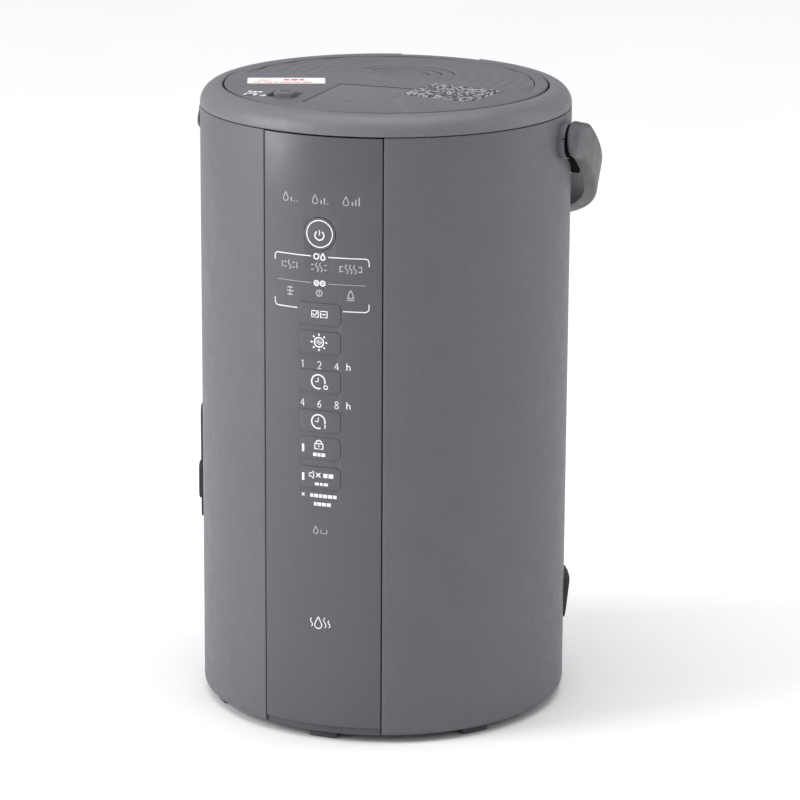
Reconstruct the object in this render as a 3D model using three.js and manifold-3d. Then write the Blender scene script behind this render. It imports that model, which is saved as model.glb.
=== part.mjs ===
// Pot-type steam humidifier: a round body with an inner pot, a hinged lid with a release lever,
// a swing-over bail handle, a strip of keys down the front and a small mixing fan.
// Millimetres, +Z up. The front faces -Y. Azimuth is measured from the front towards +X.
import * as THREE from "three";
import { mergeVertices } from "three/addons/utils/BufferGeometryUtils.js";
import Module from "manifold-3d";

// ---------------------------------------------------------------- driving dimensions
const HEIGHT = 375;
const BODY_R = 110;
const WALL = 2.5;
const GAP = 0.3; // clearance between pieces that touch
const FOOT_H = 4;
const SEAM_Z = 363; // joint between the body shell and the shoulder ring
const SHOULDER_R = 11; // rounding of the ring's outer edge
const PANEL_HALF_ANGLE = 19.45;
const PANEL_BOTTOM = 9.5;
const LID_R = 96;
const LID_BOTTOM = 352;
const HINGE_Y = 99;
const HINGE_Z = 367.5;
const POT_R = 80;
const POT_BOTTOM = 112;
const POT_RIM = 346;
const HANDLE_HALF_SPAN = 120;
const HANDLE_REACH = 162;
const HANDLE_PIVOT_Z = 347.5;
const ARM_EYE_X = 115.2; // inner face of the thin eye at each end of the handle
const SOCKET_X = 118.4; // depth of the pivot sockets in the eyes
const BOSS_R = 10.5;
const HANDLE_REST_DEG = -30.5; // the bail hangs behind the body, below horizontal
const BAIL_PLANE = 8.25; // the bail's plane lies this far above the line through the pivots
const BAIL_HALF = 11.75; // half the bail's width
const FAN_AZIMUTH = -81;
const FAN_Z = 140;
const INLET_AZIMUTH = 112;
const INLET_Z = 58;
const FEET = 7;
const TURN_STEPS = 60; // facets in the large turned pieces

// Keys down the middle of the panel: all one size, each with the height of its centre.
const KEY_W = 24.6;
const KEY_H = 12.2;
const KEY_CORNER = 2.2;
const SMALL_KEYS = [
  ["key_select", 259],
  ["key_light", 242.4],
  ["key_off_timer", 219.2],
  ["key_on_timer", 195.4],
  ["key_lock", 179.2],
  ["key_quiet", 161.5],
];
const POWER_KEY_Z = 306;
const POWER_KEY_R = 9.5;

// Lever flap and lock slider on the lid
const FLAP = { halfWidth: 22.5, front: -78, rear: -16, thick: 2.2 };
const LEVER_PIN = { y: FLAP.rear - 4.5, z: HEIGHT - 6.5 };
const LATCH = { halfWidth: 15, front: -95.4, rear: -58, low: 361, high: 363.5 };
const SLIDER = { x: -38.5, y: -64, halfX: 6, halfY: 4.6, travel: 5, height: 3 };

// Steam outlet: concentric ripples behind a shallow chevron edge
const RIPPLE_Y = 25;
const RIPPLE_PITCH = 7.6;
const RIPPLES = 8;
const VENT_R = 88;

// ---------------------------------------------------------------- materials
const finish = (color, roughness, metalness = 0) =>
  new THREE.MeshStandardMaterial({ color, roughness, metalness });
const M = {
  shell: finish(0x77767d, 0.55),
  panel: finish(0x6b6a71, 0.4),
  lid: finish(0x79787f, 0.5),
  handle: finish(0x6e6d73, 0.55),
  key: finish(0x6d6c73, 0.45),
  dark: finish(0x1c1c1f, 0.5),
  rubber: finish(0x55555a, 0.9),
  silicone: finish(0xd8d6d0, 0.8),
  white: finish(0xe6e4de, 0.6),
  pot: finish(0x3a3a3c, 0.45),
  steel: finish(0xb9babd, 0.3, 1),
  brass: finish(0xc8a24c, 0.35, 1),
  board: finish(0x1f5a3a, 0.6),
  filter: finish(0x2b2b2e, 0.95),
};

// ---------------------------------------------------------------- solids and booleans
const wasm = await Module();
wasm.setup();
const rad = THREE.MathUtils.degToRad;

function signedVolume(pos, tri) {
  const a = new THREE.Vector3();
  const b = new THREE.Vector3();
  const c = new THREE.Vector3();
  let sum = 0;
  for (let i = 0; i < tri.length; i += 3) {
    a.fromArray(pos, 3 * tri[i]);
    b.fromArray(pos, 3 * tri[i + 1]);
    c.fromArray(pos, 3 * tri[i + 2]);
    sum += a.dot(b.cross(c)) / 6;
  }
  return sum;
}

// A closed geometry as a manifold-3d solid that faces outwards.
function solid(geometry) {
  const bare = geometry.clone();
  bare.deleteAttribute("normal");
  bare.deleteAttribute("uv");
  const merged = mergeVertices(bare, 1e-4);
  const pos = merged.attributes.position.array;
  const tri = [];
  for (let i = 0; i < merged.index.count; i += 3) {
    const [a, b, c] = merged.index.array.slice(i, i + 3);
    if (a !== b && b !== c && c !== a) tri.push(a, b, c);
  }
  if (signedVolume(pos, tri) < 0) tri.reverse();
  const mesh = new wasm.Mesh({
    numProp: 3,
    vertProperties: new Float32Array(pos),
    triVerts: new Uint32Array(tri),
  });
  return new wasm.Manifold(mesh);
}

function geometryOf(manifold) {
  const mesh = manifold.getMesh();
  const geometry = new THREE.BufferGeometry();
  geometry.setAttribute(
    "position",
    new THREE.BufferAttribute(new Float32Array(mesh.vertProperties), 3),
  );
  geometry.setIndex([...mesh.triVerts]);
  return geometry;
}

function join(first, ...rest) {
  let sum = solid(first);
  for (const g of rest) sum = sum.add(solid(g));
  return geometryOf(sum);
}

function cut(first, ...tools) {
  let left = solid(first);
  for (const g of tools) left = left.subtract(solid(g));
  return geometryOf(left);
}

function common(a, b) {
  return geometryOf(solid(a).intersect(solid(b)));
}

// ---------------------------------------------------------------- basic shapes
const v2 = (x, y) => new THREE.Vector2(x, y);

// A profile of [radius, height] pairs turned about +Z; it closes on itself or ends on the axis.
function turned(profile, steps = TURN_STEPS) {
  const points = profile.map(([r, z]) => v2(r, z));
  const onAxis = profile[0][0] === 0 && profile.at(-1)[0] === 0;
  if (!onAxis) points.push(points[0].clone());
  return new THREE.LatheGeometry(points, steps).rotateX(Math.PI / 2);
}

// Points of an arc in a [radius, height] profile.
function arc(cx, cz, r, fromDeg, toDeg, steps = 5) {
  const out = [];
  for (let i = 0; i <= steps; i++) {
    const a = rad(fromDeg + ((toDeg - fromDeg) * i) / steps);
    out.push([cx + r * Math.cos(a), cz + r * Math.sin(a)]);
  }
  return out;
}

function disc(r, z0, z1, steps = TURN_STEPS) {
  return turned([[0, z0], [r, z0], [r, z1], [0, z1]], steps);
}

function ring(r0, r1, z0, z1, steps = TURN_STEPS) {
  return turned([[r0, z0], [r1, z0], [r1, z1], [r0, z1]], steps);
}

function box(x0, x1, y0, y1, z0, z1) {
  const g = new THREE.BoxGeometry(x1 - x0, y1 - y0, z1 - z0);
  return g.translate((x0 + x1) / 2, (y0 + y1) / 2, (z0 + z1) / 2);
}

function prism(shape, z0, z1, curveSegments = 2) {
  const g = new THREE.ExtrudeGeometry(shape, {
    depth: z1 - z0,
    bevelEnabled: false,
    curveSegments,
  });
  return g.translate(0, 0, z0);
}

function roundedRect(w, h, r) {
  const s = new THREE.Shape();
  const x = w / 2 - r;
  const y = h / 2 - r;
  s.absarc(x, -y, r, -Math.PI / 2, 0);
  s.absarc(x, y, r, 0, Math.PI / 2);
  s.absarc(-x, y, r, Math.PI / 2, Math.PI);
  s.absarc(-x, -y, r, Math.PI, 1.5 * Math.PI);
  return s;
}

function circle(r, steps = 24) {
  const points = [];
  for (let i = 0; i < steps; i++) {
    const a = (2 * Math.PI * i) / steps;
    points.push(v2(r * Math.cos(a), r * Math.sin(a)));
  }
  return new THREE.Shape(points);
}

// A rod along X, Y or Z between two coordinates on that axis.
function rod(axis, r, from, to, steps = 24) {
  const g = new THREE.CylinderGeometry(r, r, to - from, steps);
  g.translate(0, (from + to) / 2, 0);
  if (axis === "x") g.rotateZ(-Math.PI / 2);
  if (axis === "z") g.rotateX(Math.PI / 2);
  return g;
}

// Part of a ring between two radii, centred on the front.
function sector(r0, r1, halfDeg, z0, z1) {
  const steps = Math.max(4, Math.round(halfDeg / 2.5));
  const points = [];
  const at = (r, i) => {
    const a = rad(halfDeg * ((2 * i) / steps - 1));
    points.push(v2(r * Math.sin(a), -r * Math.cos(a)));
  };
  for (let i = 0; i <= steps; i++) at(r1, i);
  for (let i = steps; i >= 0; i--) at(r0, i);
  return prism(new THREE.Shape(points), z0, z1);
}

// A plug that stands on the front face: its shape lies in X and Z, its depth runs outwards.
function frontPlug(shape, z, r0, r1) {
  return prism(shape, 0, r1 - r0).rotateX(Math.PI / 2).translate(0, -r0, z);
}

// Turns a piece that was made at the front to its azimuth.
const atAzimuth = (geometry, deg) => geometry.rotateZ(rad(deg));

// A helical spring along +Z.
class Helix extends THREE.Curve {
  constructor(r, height, turns) {
    super();
    Object.assign(this, { r, height, turns });
  }
  getPoint(t, target = new THREE.Vector3()) {
    const a = 2 * Math.PI * this.turns * t;
    return target.set(this.r * Math.cos(a), this.r * Math.sin(a), this.height * t);
  }
}

function spring(r, wire, height, turns) {
  return new THREE.ExtrudeGeometry(circle(wire, 5), {
    steps: Math.round(turns * 9),
    bevelEnabled: false,
    extrudePath: new Helix(r, height, turns),
  });
}

// ---------------------------------------------------------------- the scene graph
const humidifier = new THREE.Group();
// The part's origin is on the floor, under the middle of the overall box, which runs from the
// front of the body to the furthest point of the hanging bail.
const bailDrop = rad(-HANDLE_REST_DEG);
const bailRear =
  HANDLE_REACH * Math.cos(bailDrop) + (BAIL_PLANE + BAIL_HALF) * Math.sin(bailDrop);
humidifier.position.y = -(bailRear - BODY_R) / 2;

function add(group, name, geometry, material) {
  const flat = geometry.index ? geometry.toNonIndexed() : geometry;
  flat.computeVertexNormals();
  const mesh = new THREE.Mesh(flat, material);
  mesh.name = name;
  group.add(mesh);
  return mesh;
}

// ---------------------------------------------------------------- body shell, panel and base
function buildCasing(group) {
  const inner = BODY_R - WALL;
  const top = SEAM_Z - GAP;
  const sleeve = turned([
    [104.5, FOOT_H + GAP],
    ...arc(106, 8 + GAP, 4, -90, 0, 4),
    [BODY_R, top],
    [inner, top],
    [inner, 9],
    [104.5, 6.5],
  ]);
  const doorway = sector(100, 115, PANEL_HALF_ANGLE, 0, SEAM_Z + 5);
  const intakeHole = atAzimuth(frontPlug(roundedRect(40, 71, 5), FAN_Z, 100, 120), FAN_AZIMUTH);
  const inletHole = atAzimuth(frontPlug(roundedRect(26, 28, 5), INLET_Z, 95, 120), INLET_AZIMUTH);
  const bossHoles = [90, -90].map((a) =>
    atAzimuth(frontPlug(circle(9), HANDLE_PIVOT_Z, 100, 120), a),
  );
  add(group, "body_shell", cut(sleeve, doorway, intakeHole, inletHole, ...bossHoles), M.shell);

  const panelHalf = PANEL_HALF_ANGLE - 0.42;
  const panel = sector(BODY_R - 2.7, BODY_R - 0.2, panelHalf, PANEL_BOTTOM, SEAM_Z - 0.8);
  const windows = SMALL_KEYS.map(([, z]) =>
    frontPlug(roundedRect(KEY_W + 2 * GAP, KEY_H + 2 * GAP, KEY_CORNER + GAP), z, 100, 115),
  );
  windows.push(frontPlug(circle(POWER_KEY_R + GAP), POWER_KEY_Z, 100, 115));
  add(group, "front_panel", cut(panel, ...windows), M.panel);

  // The carrier bridges the open front of the shell and holds the panel and the display board.
  const carrier = sector(104.3, 106.9, 24, 12, SEAM_Z - 4);
  const stems = SMALL_KEYS.map(([, z]) => frontPlug(roundedRect(9, 9, 1), z, 95, 115));
  stems.push(frontPlug(circle(5), POWER_KEY_Z, 95, 115));
  add(group, "panel_carrier", cut(carrier, ...stems), M.dark);

  const pan = turned([
    [0, FOOT_H],
    [103.8, FOOT_H],
    [103.8, 12],
    [101.5, 12],
    [101.5, 6.5],
    [0, 6.5],
  ]);
  const lip = sector(103, BODY_R - 1.4, PANEL_HALF_ANGLE - 0.42, FOOT_H + 0.6, PANEL_BOTTOM - 0.5);
  const vents = [-24, -12, 0, 12, 24].map((y) => box(-30, 30, y - 2, y + 2, 0, 10));
  add(group, "base_pan", cut(join(pan, lip), ...vents), M.shell);

  for (let i = 0; i < FEET; i++) {
    const foot = sector(92, 105, 4.8, 0, FOOT_H - GAP);
    add(group, "foot_" + (i + 1), atAzimuth(foot, (360 / FEET) * i), M.rubber);
  }
}

// ---------------------------------------------------------------- shoulder ring and lid hinge
function buildShoulder(group) {
  const outerR = BODY_R;
  const topZ = HEIGHT - 0.5;
  const profile = [
    [outerR - WALL, SEAM_Z + 0.2],
    [outerR, SEAM_Z + 0.2],
    ...arc(outerR - SHOULDER_R, topZ - SHOULDER_R, SHOULDER_R, 0, 90, 6),
    [LID_R + 1.6, topZ],
    [LID_R + 0.6, topZ - 1],
    [LID_R + 0.6, POT_RIM],
    [83, POT_RIM],
    [83, POT_RIM - 2],
    [LID_R + 2.9, POT_RIM - 2],
    [LID_R + 2.9, topZ - WALL],
    ...arc(outerR - SHOULDER_R, topZ - SHOULDER_R, SHOULDER_R - WALL, 90, 0, 3),
  ];
  const notchBlock = box(-26, 26, 88, 107, HINGE_Z - 8, HEIGHT + 5);
  const hingeNotch = common(notchBlock, disc(106.4, 300, 400));
  const latchPocket = box(-17, 17, -101, -94, 359.5, 365);
  const airPort = atAzimuth(sector(88, 97, 9, POT_RIM - 4, POT_RIM + 2), FAN_AZIMUTH);
  add(group, "shoulder_ring", cut(turned(profile), hingeNotch, latchPocket, airPort), M.shell);

  const pin = rod("x", 1.8, -24.5, 24.5, 12).translate(0, HINGE_Y, HINGE_Z);
  add(group, "hinge_pin", pin, M.steel);

  // Two posts that stand on the ring's ledge carry the ends of the hinge pin.
  for (const [name, side] of [["hinge_post_left", -1], ["hinge_post_right", 1]]) {
    const x0 = side > 0 ? 20.8 : -24.3;
    const post = box(x0, x0 + 3.5, HINGE_Y - 4.5, HINGE_Y + 4.5, HINGE_Z - 7.5, HINGE_Z + 4.5);
    const bore = rod("x", 2.15, -40, 40, 16).translate(0, HINGE_Y, HINGE_Z);
    add(group, name, cut(post, bore), M.dark);
  }
}

// ---------------------------------------------------------------- pot, heater and sensors
function buildPot(group) {
  const t = 1.2;
  add(group, "inner_pot", turned([
    [0, POT_BOTTOM - t],
    [POT_R - 8, POT_BOTTOM - t],
    ...arc(POT_R - 8, POT_BOTTOM + 8, 8 + t, -90, 0, 3),
    [POT_R + t, POT_RIM + GAP],
    [88, POT_RIM + GAP],
    [88, POT_RIM + 1.5],
    [POT_R, POT_RIM + 1.5],
    ...arc(POT_R - 8, POT_BOTTOM + 8, 8, 0, -90, 3),
    [0, POT_BOTTOM],
  ], 48), M.pot);

  const bottom = POT_BOTTOM - t;
  add(group, "pot_heater", ring(22, 62, bottom - 4.3, bottom - GAP, 40), M.steel);
  add(group, "thermostat", disc(9, bottom - 9, bottom - GAP, 20), M.dark);
  const fuse = rod("y", 2.5, -9, 9, 12).translate(46, 0, bottom - 7.5);
  add(group, "thermal_fuse", fuse, M.white);
  const sensor = rod("z", 4, 150, 172, 12).translate(0, POT_R + t + 4.6, 0);
  add(group, "pot_sensor", sensor, M.steel);

  // A dished shield under the heater, on the base pan by its three legs.
  const shield = turned([
    [0, 92],
    [93, 92],
    [93, 100],
    [91.5, 100],
    [91.5, 93.5],
    [0, 93.5],
  ], 48);
  const legs = [60, 180, 300].map((a) => {
    const leg = box(-7, 7, -92.5, -89, 6.9, 93);
    return atAzimuth(leg, a);
  });
  add(group, "heat_shield", join(shield, ...legs), M.steel);
}

// ---------------------------------------------------------------- electronics and power inlet
function buildElectronics(group) {
  const boardZ = 22;
  const board = box(-60, 60, -45, 45, boardZ, boardZ + 1.6);
  const standoffs = [[-54, -39], [54, -39], [-54, 39], [54, 39]].map(([x, y]) =>
    rod("z", 3, 6.5 + GAP, boardZ + 0.5, 10).translate(x, y, 0),
  );
  // The filter capacitor is soldered to the board, so it belongs to the same solid.
  const capacitor = rod("z", 9, boardZ + 1, boardZ + 34, 18).translate(-30, -25, 0);
  add(group, "main_board", join(board, capacitor, ...standoffs), M.board);
  const top = boardZ + 1.6 + GAP;
  add(group, "power_relay", box(-50, -30, 12, 28, top, top + 20), M.dark);
  add(group, "transformer", box(8, 44, -20, 16, top, top + 30), M.brass);

  // Display board: a flat board behind the panel with one switch block behind each key.
  const boardY = -97.5;
  const display = box(-26, 26, boardY, boardY + 1.6, 140, 335);
  const switches = SMALL_KEYS.map(([, z]) => box(-3, 3, boardY - 3, boardY + 0.5, z - 3, z + 3));
  switches.push(box(-3, 3, boardY - 3, boardY + 0.5, POWER_KEY_Z - 3, POWER_KEY_Z + 3));
  add(group, "display_board", join(display, ...switches), M.board);

  // Power inlet: a shallow socket for a magnetic plug, with two blades.
  const socket = new THREE.Group();
  socket.rotation.z = rad(INLET_AZIMUTH);
  const face = BODY_R + 3.6;
  const housing = join(
    frontPlug(roundedRect(25.4, 27.4, 4.7), INLET_Z, 96, face - 1.5),
    frontPlug(roundedRect(22, 24, 4), INLET_Z, face - 2, face),
  );
  const recess = frontPlug(roundedRect(14, 18, 2.5), INLET_Z, 101, face + 5);
  add(socket, "power_inlet", cut(housing, recess), M.dark);
  for (const [name, dz] of [["inlet_contact_upper", 5], ["inlet_contact_lower", -5]]) {
    const blade = frontPlug(roundedRect(2.4, 4, 0.8), INLET_Z + dz, 101 + GAP, face - 4);
    add(socket, name, blade, M.brass);
  }
  group.add(socket);
}

// ---------------------------------------------------------------- mixing fan and its air path
function buildFan(group) {
  const side = new THREE.Group();
  side.rotation.z = rad(FAN_AZIMUTH);

  // Cover with louvres, a raised rim and a pull tab; the filter sits just behind it.
  const rim = common(
    frontPlug(roundedRect(39.2, 70.2, 4.7), FAN_Z, 100, 116),
    ring(BODY_R - 2.4, BODY_R + 1.4, 100, 200),
  );
  const slots = [-3, -2, -1, 0, 1, 2, 3].map((i) =>
    box(-14, 14, -120, -95, FAN_Z + 9 * i - 1.8, FAN_Z + 9 * i + 1.8),
  );
  const tab = frontPlug(roundedRect(24, 24, 4), FAN_Z - 14, BODY_R - 1, BODY_R + 3.2);
  const tabSlot = box(-9, 9, -120, -95, FAN_Z - 22, FAN_Z - 6);
  add(side, "intake_cover", cut(join(cut(rim, ...slots), tab), tabSlot), M.dark);
  add(side, "intake_filter", frontPlug(roundedRect(37, 68, 3), FAN_Z, 103.6, 105.2), M.filter);

  const low = 87.5;
  const high = 102.5;
  const frame = frontPlug(roundedRect(50, 50, 3), FAN_Z, low, high);
  const mouth = frontPlug(circle(23), FAN_Z, low + 2, high + 2);
  const ports = [0, 90, 180, 270].map((a) => {
    const port = frontPlug(circle(6.5), 0, low - 2, low + 4).translate(0, 0, 14);
    return port.rotateY(rad(a)).translate(0, 0, FAN_Z);
  });
  const outlet = box(-18, 18, -high + 2.2, -low - 2.2, FAN_Z + 10, FAN_Z + 30);
  add(side, "fan_housing", cut(frame, mouth, ...ports, outlet), M.dark);
  add(side, "fan_motor", frontPlug(circle(9), FAN_Z, low + 2 + GAP, low + 5), M.steel);

  const blades = [];
  for (let i = 0; i < 7; i++) {
    const blade = box(-0.9, 0.9, -high + 1.5, -low - 5.8, 8, 20);
    blades.push(blade.rotateY(rad((360 / 7) * i)).translate(0, 0, FAN_Z));
  }
  const hub = frontPlug(circle(9.5), FAN_Z, low + 5.4, high - 1);
  add(side, "fan_impeller", join(hub, ...blades), M.white);

  // Duct that carries the air up to the port in the ring's ledge.
  const z0 = FAN_Z + 25 + GAP;
  const z1 = POT_RIM - 2 - GAP;
  const duct = sector(85.5, 102.6, 12, z0, z1);
  const bore = sector(87, 101.1, 11, z0 - 5, z1 + 5);
  add(side, "air_duct", cut(duct, bore), M.dark);
  group.add(side);

  const sensor = join(box(-7, 7, -106, -103, 30, 48), box(-4, 4, -104, -98, 34, 44));
  add(group, "humidity_sensor", atAzimuth(sensor, -60), M.white);
}

// ---------------------------------------------------------------- lid
function chevronOutline(inset) {
  // Half-moon plan of the steam outlet: a shallow chevron in front and an arc behind.
  const r = VENT_R - inset;
  const points = [v2(0, 22 + inset), v2(30, 22 + inset)];
  const from = Math.atan2(-2 + inset, r);
  for (let i = 0; i <= 30; i++) {
    const a = from + ((Math.PI - 2 * from) * i) / 30;
    points.push(v2(r * Math.cos(a), r * Math.sin(a)));
  }
  points.push(v2(-30, 22 + inset));
  return new THREE.Shape(points);
}

function buildLid(group) {
  const top = HEIGHT;
  const skin = 2.8;
  const cover = turned([
    [0, top - skin],
    [LID_R - 3, top - skin],
    [LID_R - 3, 360],
    [LID_R - 0.5, 360],
    [LID_R - 0.5, top - 1],
    [LID_R - 1.5, top],
    [0, top],
  ]);
  const ventHole = prism(chevronOutline(0), top - 10, top + 5);
  const flapHole = box(
    -FLAP.halfWidth - 0.4, FLAP.halfWidth + 0.4, FLAP.front - 0.4, FLAP.rear + 0.4,
    top - 10, top + 5,
  );
  const sliderSlot = box(
    SLIDER.x - SLIDER.halfX - SLIDER.travel - 0.9, SLIDER.x + SLIDER.halfX + 0.5,
    SLIDER.y - SLIDER.halfY - 0.5, SLIDER.y + SLIDER.halfY + 9,
    top - 10, top + 5,
  );
  const latchSlot = box(-17, 17, -100, -90, 359, 365);
  // The skirt stops short at the rear, so that the edge of the opening lid clears the ring.
  const rearRelief = box(-54, 54, 60, 100, 355, top - skin);
  // Concave relief in which the rear end of the flap turns.
  const flapRelief = rod("x", 8.2, -FLAP.halfWidth - 0.4, FLAP.halfWidth + 0.4, 48);
  flapRelief.translate(0, LEVER_PIN.y, LEVER_PIN.z);
  // Hinge barrel with its web, in three knuckles' width between the two posts.
  const barrel = rod("x", 5, -20.4, 20.4, 20).translate(0, HINGE_Y, HINGE_Z);
  const web = box(-20.4, 20.4, 88, HINGE_Y, HINGE_Z + 0.5, HINGE_Z + 5);
  const bore = rod("x", 2.15, -40, 40, 16).translate(0, HINGE_Y, HINGE_Z);
  const springGap = box(-8, 8, 94.8, 110, HINGE_Z - 9, HINGE_Z + 9);
  const openings = [ventHole, flapHole, sliderSlot, latchSlot, rearRelief, flapRelief];
  const shell = cut(cover, ...openings);
  add(group, "lid_cover", cut(join(shell, barrel, web), bore, springGap), M.lid);

  const coil = spring(2.9, 0.5, 12, 4).rotateY(Math.PI / 2);
  add(group, "hinge_spring", coil.translate(-6, HINGE_Y, HINGE_Z), M.steel);

  // Underside: a dished plate that closes the lid from below.
  const base = turned([
    [16, LID_BOTTOM + GAP],
    [90, LID_BOTTOM + GAP],
    [90, 357],
    [LID_R - 1, 357],
    [LID_R - 1, 359.7],
    [88, 359.7],
    [88, LID_BOTTOM + 2.5],
    [16, LID_BOTTOM + 2.5],
  ], 48);
  add(group, "lid_base", base, M.lid);

  const innerLid = disc(79, LID_BOTTOM - 4, LID_BOTTOM - 0.2, 48);
  const steamHoles = [];
  for (let i = 0; i < 6; i++) {
    const a = rad(60 * i);
    steamHoles.push(rod("z", 3, 340, 360, 8).translate(9 * Math.cos(a), 9 * Math.sin(a), 0));
  }
  add(group, "inner_lid", cut(innerLid, ...steamHoles), M.steel);
  add(group, "lid_gasket", turned([
    [81, LID_BOTTOM - 0.2],
    [83, 348.2],
    [86, 348.2],
    [87, LID_BOTTOM - 0.2],
  ], 48), M.silicone);

  // Steam duct: a short funnel from the hole in the underside up to the outlet.
  const funnel = turned([
    [13.5, LID_BOTTOM + 3],
    [17.5, LID_BOTTOM + 3],
    [17.5, LID_BOTTOM + 5],
    [21, 368.2],
    [19.5, 368.2],
    [13.5, LID_BOTTOM + 6],
  ], 32);
  add(group, "steam_duct", funnel.translate(0, 4, 0), M.white);
}

// The rippled steam outlet with its arc slots.
function buildSteamOutlet(group) {
  const low = HEIGHT - 3.6;
  const valley = HEIGHT - 1.3;
  const crest = HEIGHT - 0.1;
  const profile = [[0, low], [120, low], [120, valley]];
  for (let i = RIPPLES + 2; i >= 1; i--) {
    const r = 10 + RIPPLE_PITCH * i;
    profile.push([r, crest], [r - RIPPLE_PITCH / 2, valley]);
  }
  profile.push([0, valley]);
  const rippled = turned(profile, 48).translate(0, RIPPLE_Y, 0);
  const plate = prism(chevronOutline(0.35), low - 5, HEIGHT + 5);
  const slots = [0, 1, 2].map((i) => {
    const r = 10 + RIPPLE_PITCH * (i + 1) + 3.2;
    const slot = sector(r - 1, r + 1, 62, low - 5, HEIGHT + 5);
    return slot.rotateZ(Math.PI).translate(0, RIPPLE_Y, 0);
  });
  add(group, "steam_outlet", cut(common(rippled, plate), ...slots), M.lid);
}

function buildLever(group) {
  // Flap with a lip under its free front edge, hinged at the rear on a pin.
  const plate = box(
    -FLAP.halfWidth, FLAP.halfWidth, FLAP.front, FLAP.rear, HEIGHT - FLAP.thick, HEIGHT - 0.1,
  );
  const lip = box(-16, 16, FLAP.front, FLAP.front + 2, HEIGHT - 6, HEIGHT - 1);
  const ears = [-19, 15].map((x) =>
    box(x, x + 4, FLAP.rear - 8, FLAP.rear - 1, HEIGHT - 10, HEIGHT - 1),
  );
  const bore = rod("x", 1.55, -30, 30, 12).translate(0, LEVER_PIN.y, LEVER_PIN.z);
  add(group, "lever_flap", cut(join(plate, lip, ...ears), bore), M.lid);
  const pin = rod("x", 1.2, -22, 22, 12).translate(0, LEVER_PIN.y, LEVER_PIN.z);
  add(group, "lever_pin", pin, M.steel);

  const bar = box(-LATCH.halfWidth, LATCH.halfWidth, LATCH.front, LATCH.rear, LATCH.low, LATCH.high);
  const nose = box(-8, 8, LATCH.front, LATCH.front + 3, LATCH.low, LATCH.high + 1.2);
  const window = box(-4.5, 4.5, LATCH.front + 12, LATCH.front + 27, LATCH.low - 2, LATCH.high + 2);
  add(group, "latch", cut(join(bar, nose), window), M.white);
  const coil = spring(2.6, 0.45, 7.5, 4).rotateX(-Math.PI / 2);
  add(group, "latch_spring", coil.translate(0, LATCH.front + 18.5, 362.2), M.steel);

  const knob = box(
    SLIDER.x - SLIDER.halfX, SLIDER.x + SLIDER.halfX, SLIDER.y - SLIDER.halfY,
    SLIDER.y + SLIDER.halfY, HEIGHT - 3.4, HEIGHT + SLIDER.height,
  );
  // The sliding plate under the cover closes the slot and carries the tongue that blocks the latch.
  const foot = box(
    SLIDER.x - SLIDER.halfX - 7, SLIDER.x + SLIDER.halfX + 6.5, SLIDER.y - SLIDER.halfY - 2.5,
    SLIDER.y + SLIDER.halfY + 11, HEIGHT - 5.4, HEIGHT - 3.2,
  );
  add(group, "lock_slider", join(knob, foot), M.lid);
}

// ---------------------------------------------------------------- keys
function buildKeys(group) {
  // The caps' rear faces stay clear of the carrier through their travel.
  const face = ring(BODY_R - 2.3, BODY_R + 0.05, 100, 350);
  for (const [name, z] of SMALL_KEYS) {
    const cap = common(frontPlug(roundedRect(KEY_W, KEY_H, KEY_CORNER), z, 100, 115), face);
    const stem = frontPlug(roundedRect(7.5, 7.5, 0.8), z, 101.5, BODY_R - 2);
    add(group, name, join(cap, stem), M.key);
  }
  const cap = common(frontPlug(circle(POWER_KEY_R), POWER_KEY_Z, 100, 115), face);
  const stem = frontPlug(circle(4), POWER_KEY_Z, 101.5, BODY_R - 2);
  add(group, "key_power", join(cap, stem), M.key);
}

// ---------------------------------------------------------------- bail handle
function bailOutline(halfSpan, reach, steps) {
  // A superellipse arch: straight near the pivots and full at the shoulders.
  const n = 2.5;
  const out = [];
  for (let i = 0; i <= steps; i++) {
    const a = (Math.PI * i) / steps;
    const c = Math.cos(a);
    const s = Math.sin(a);
    const x = Math.sign(c) * Math.abs(c) ** (2 / n) * halfSpan;
    out.push(v2(x, s ** (2 / n) * reach));
  }
  return out;
}

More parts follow.
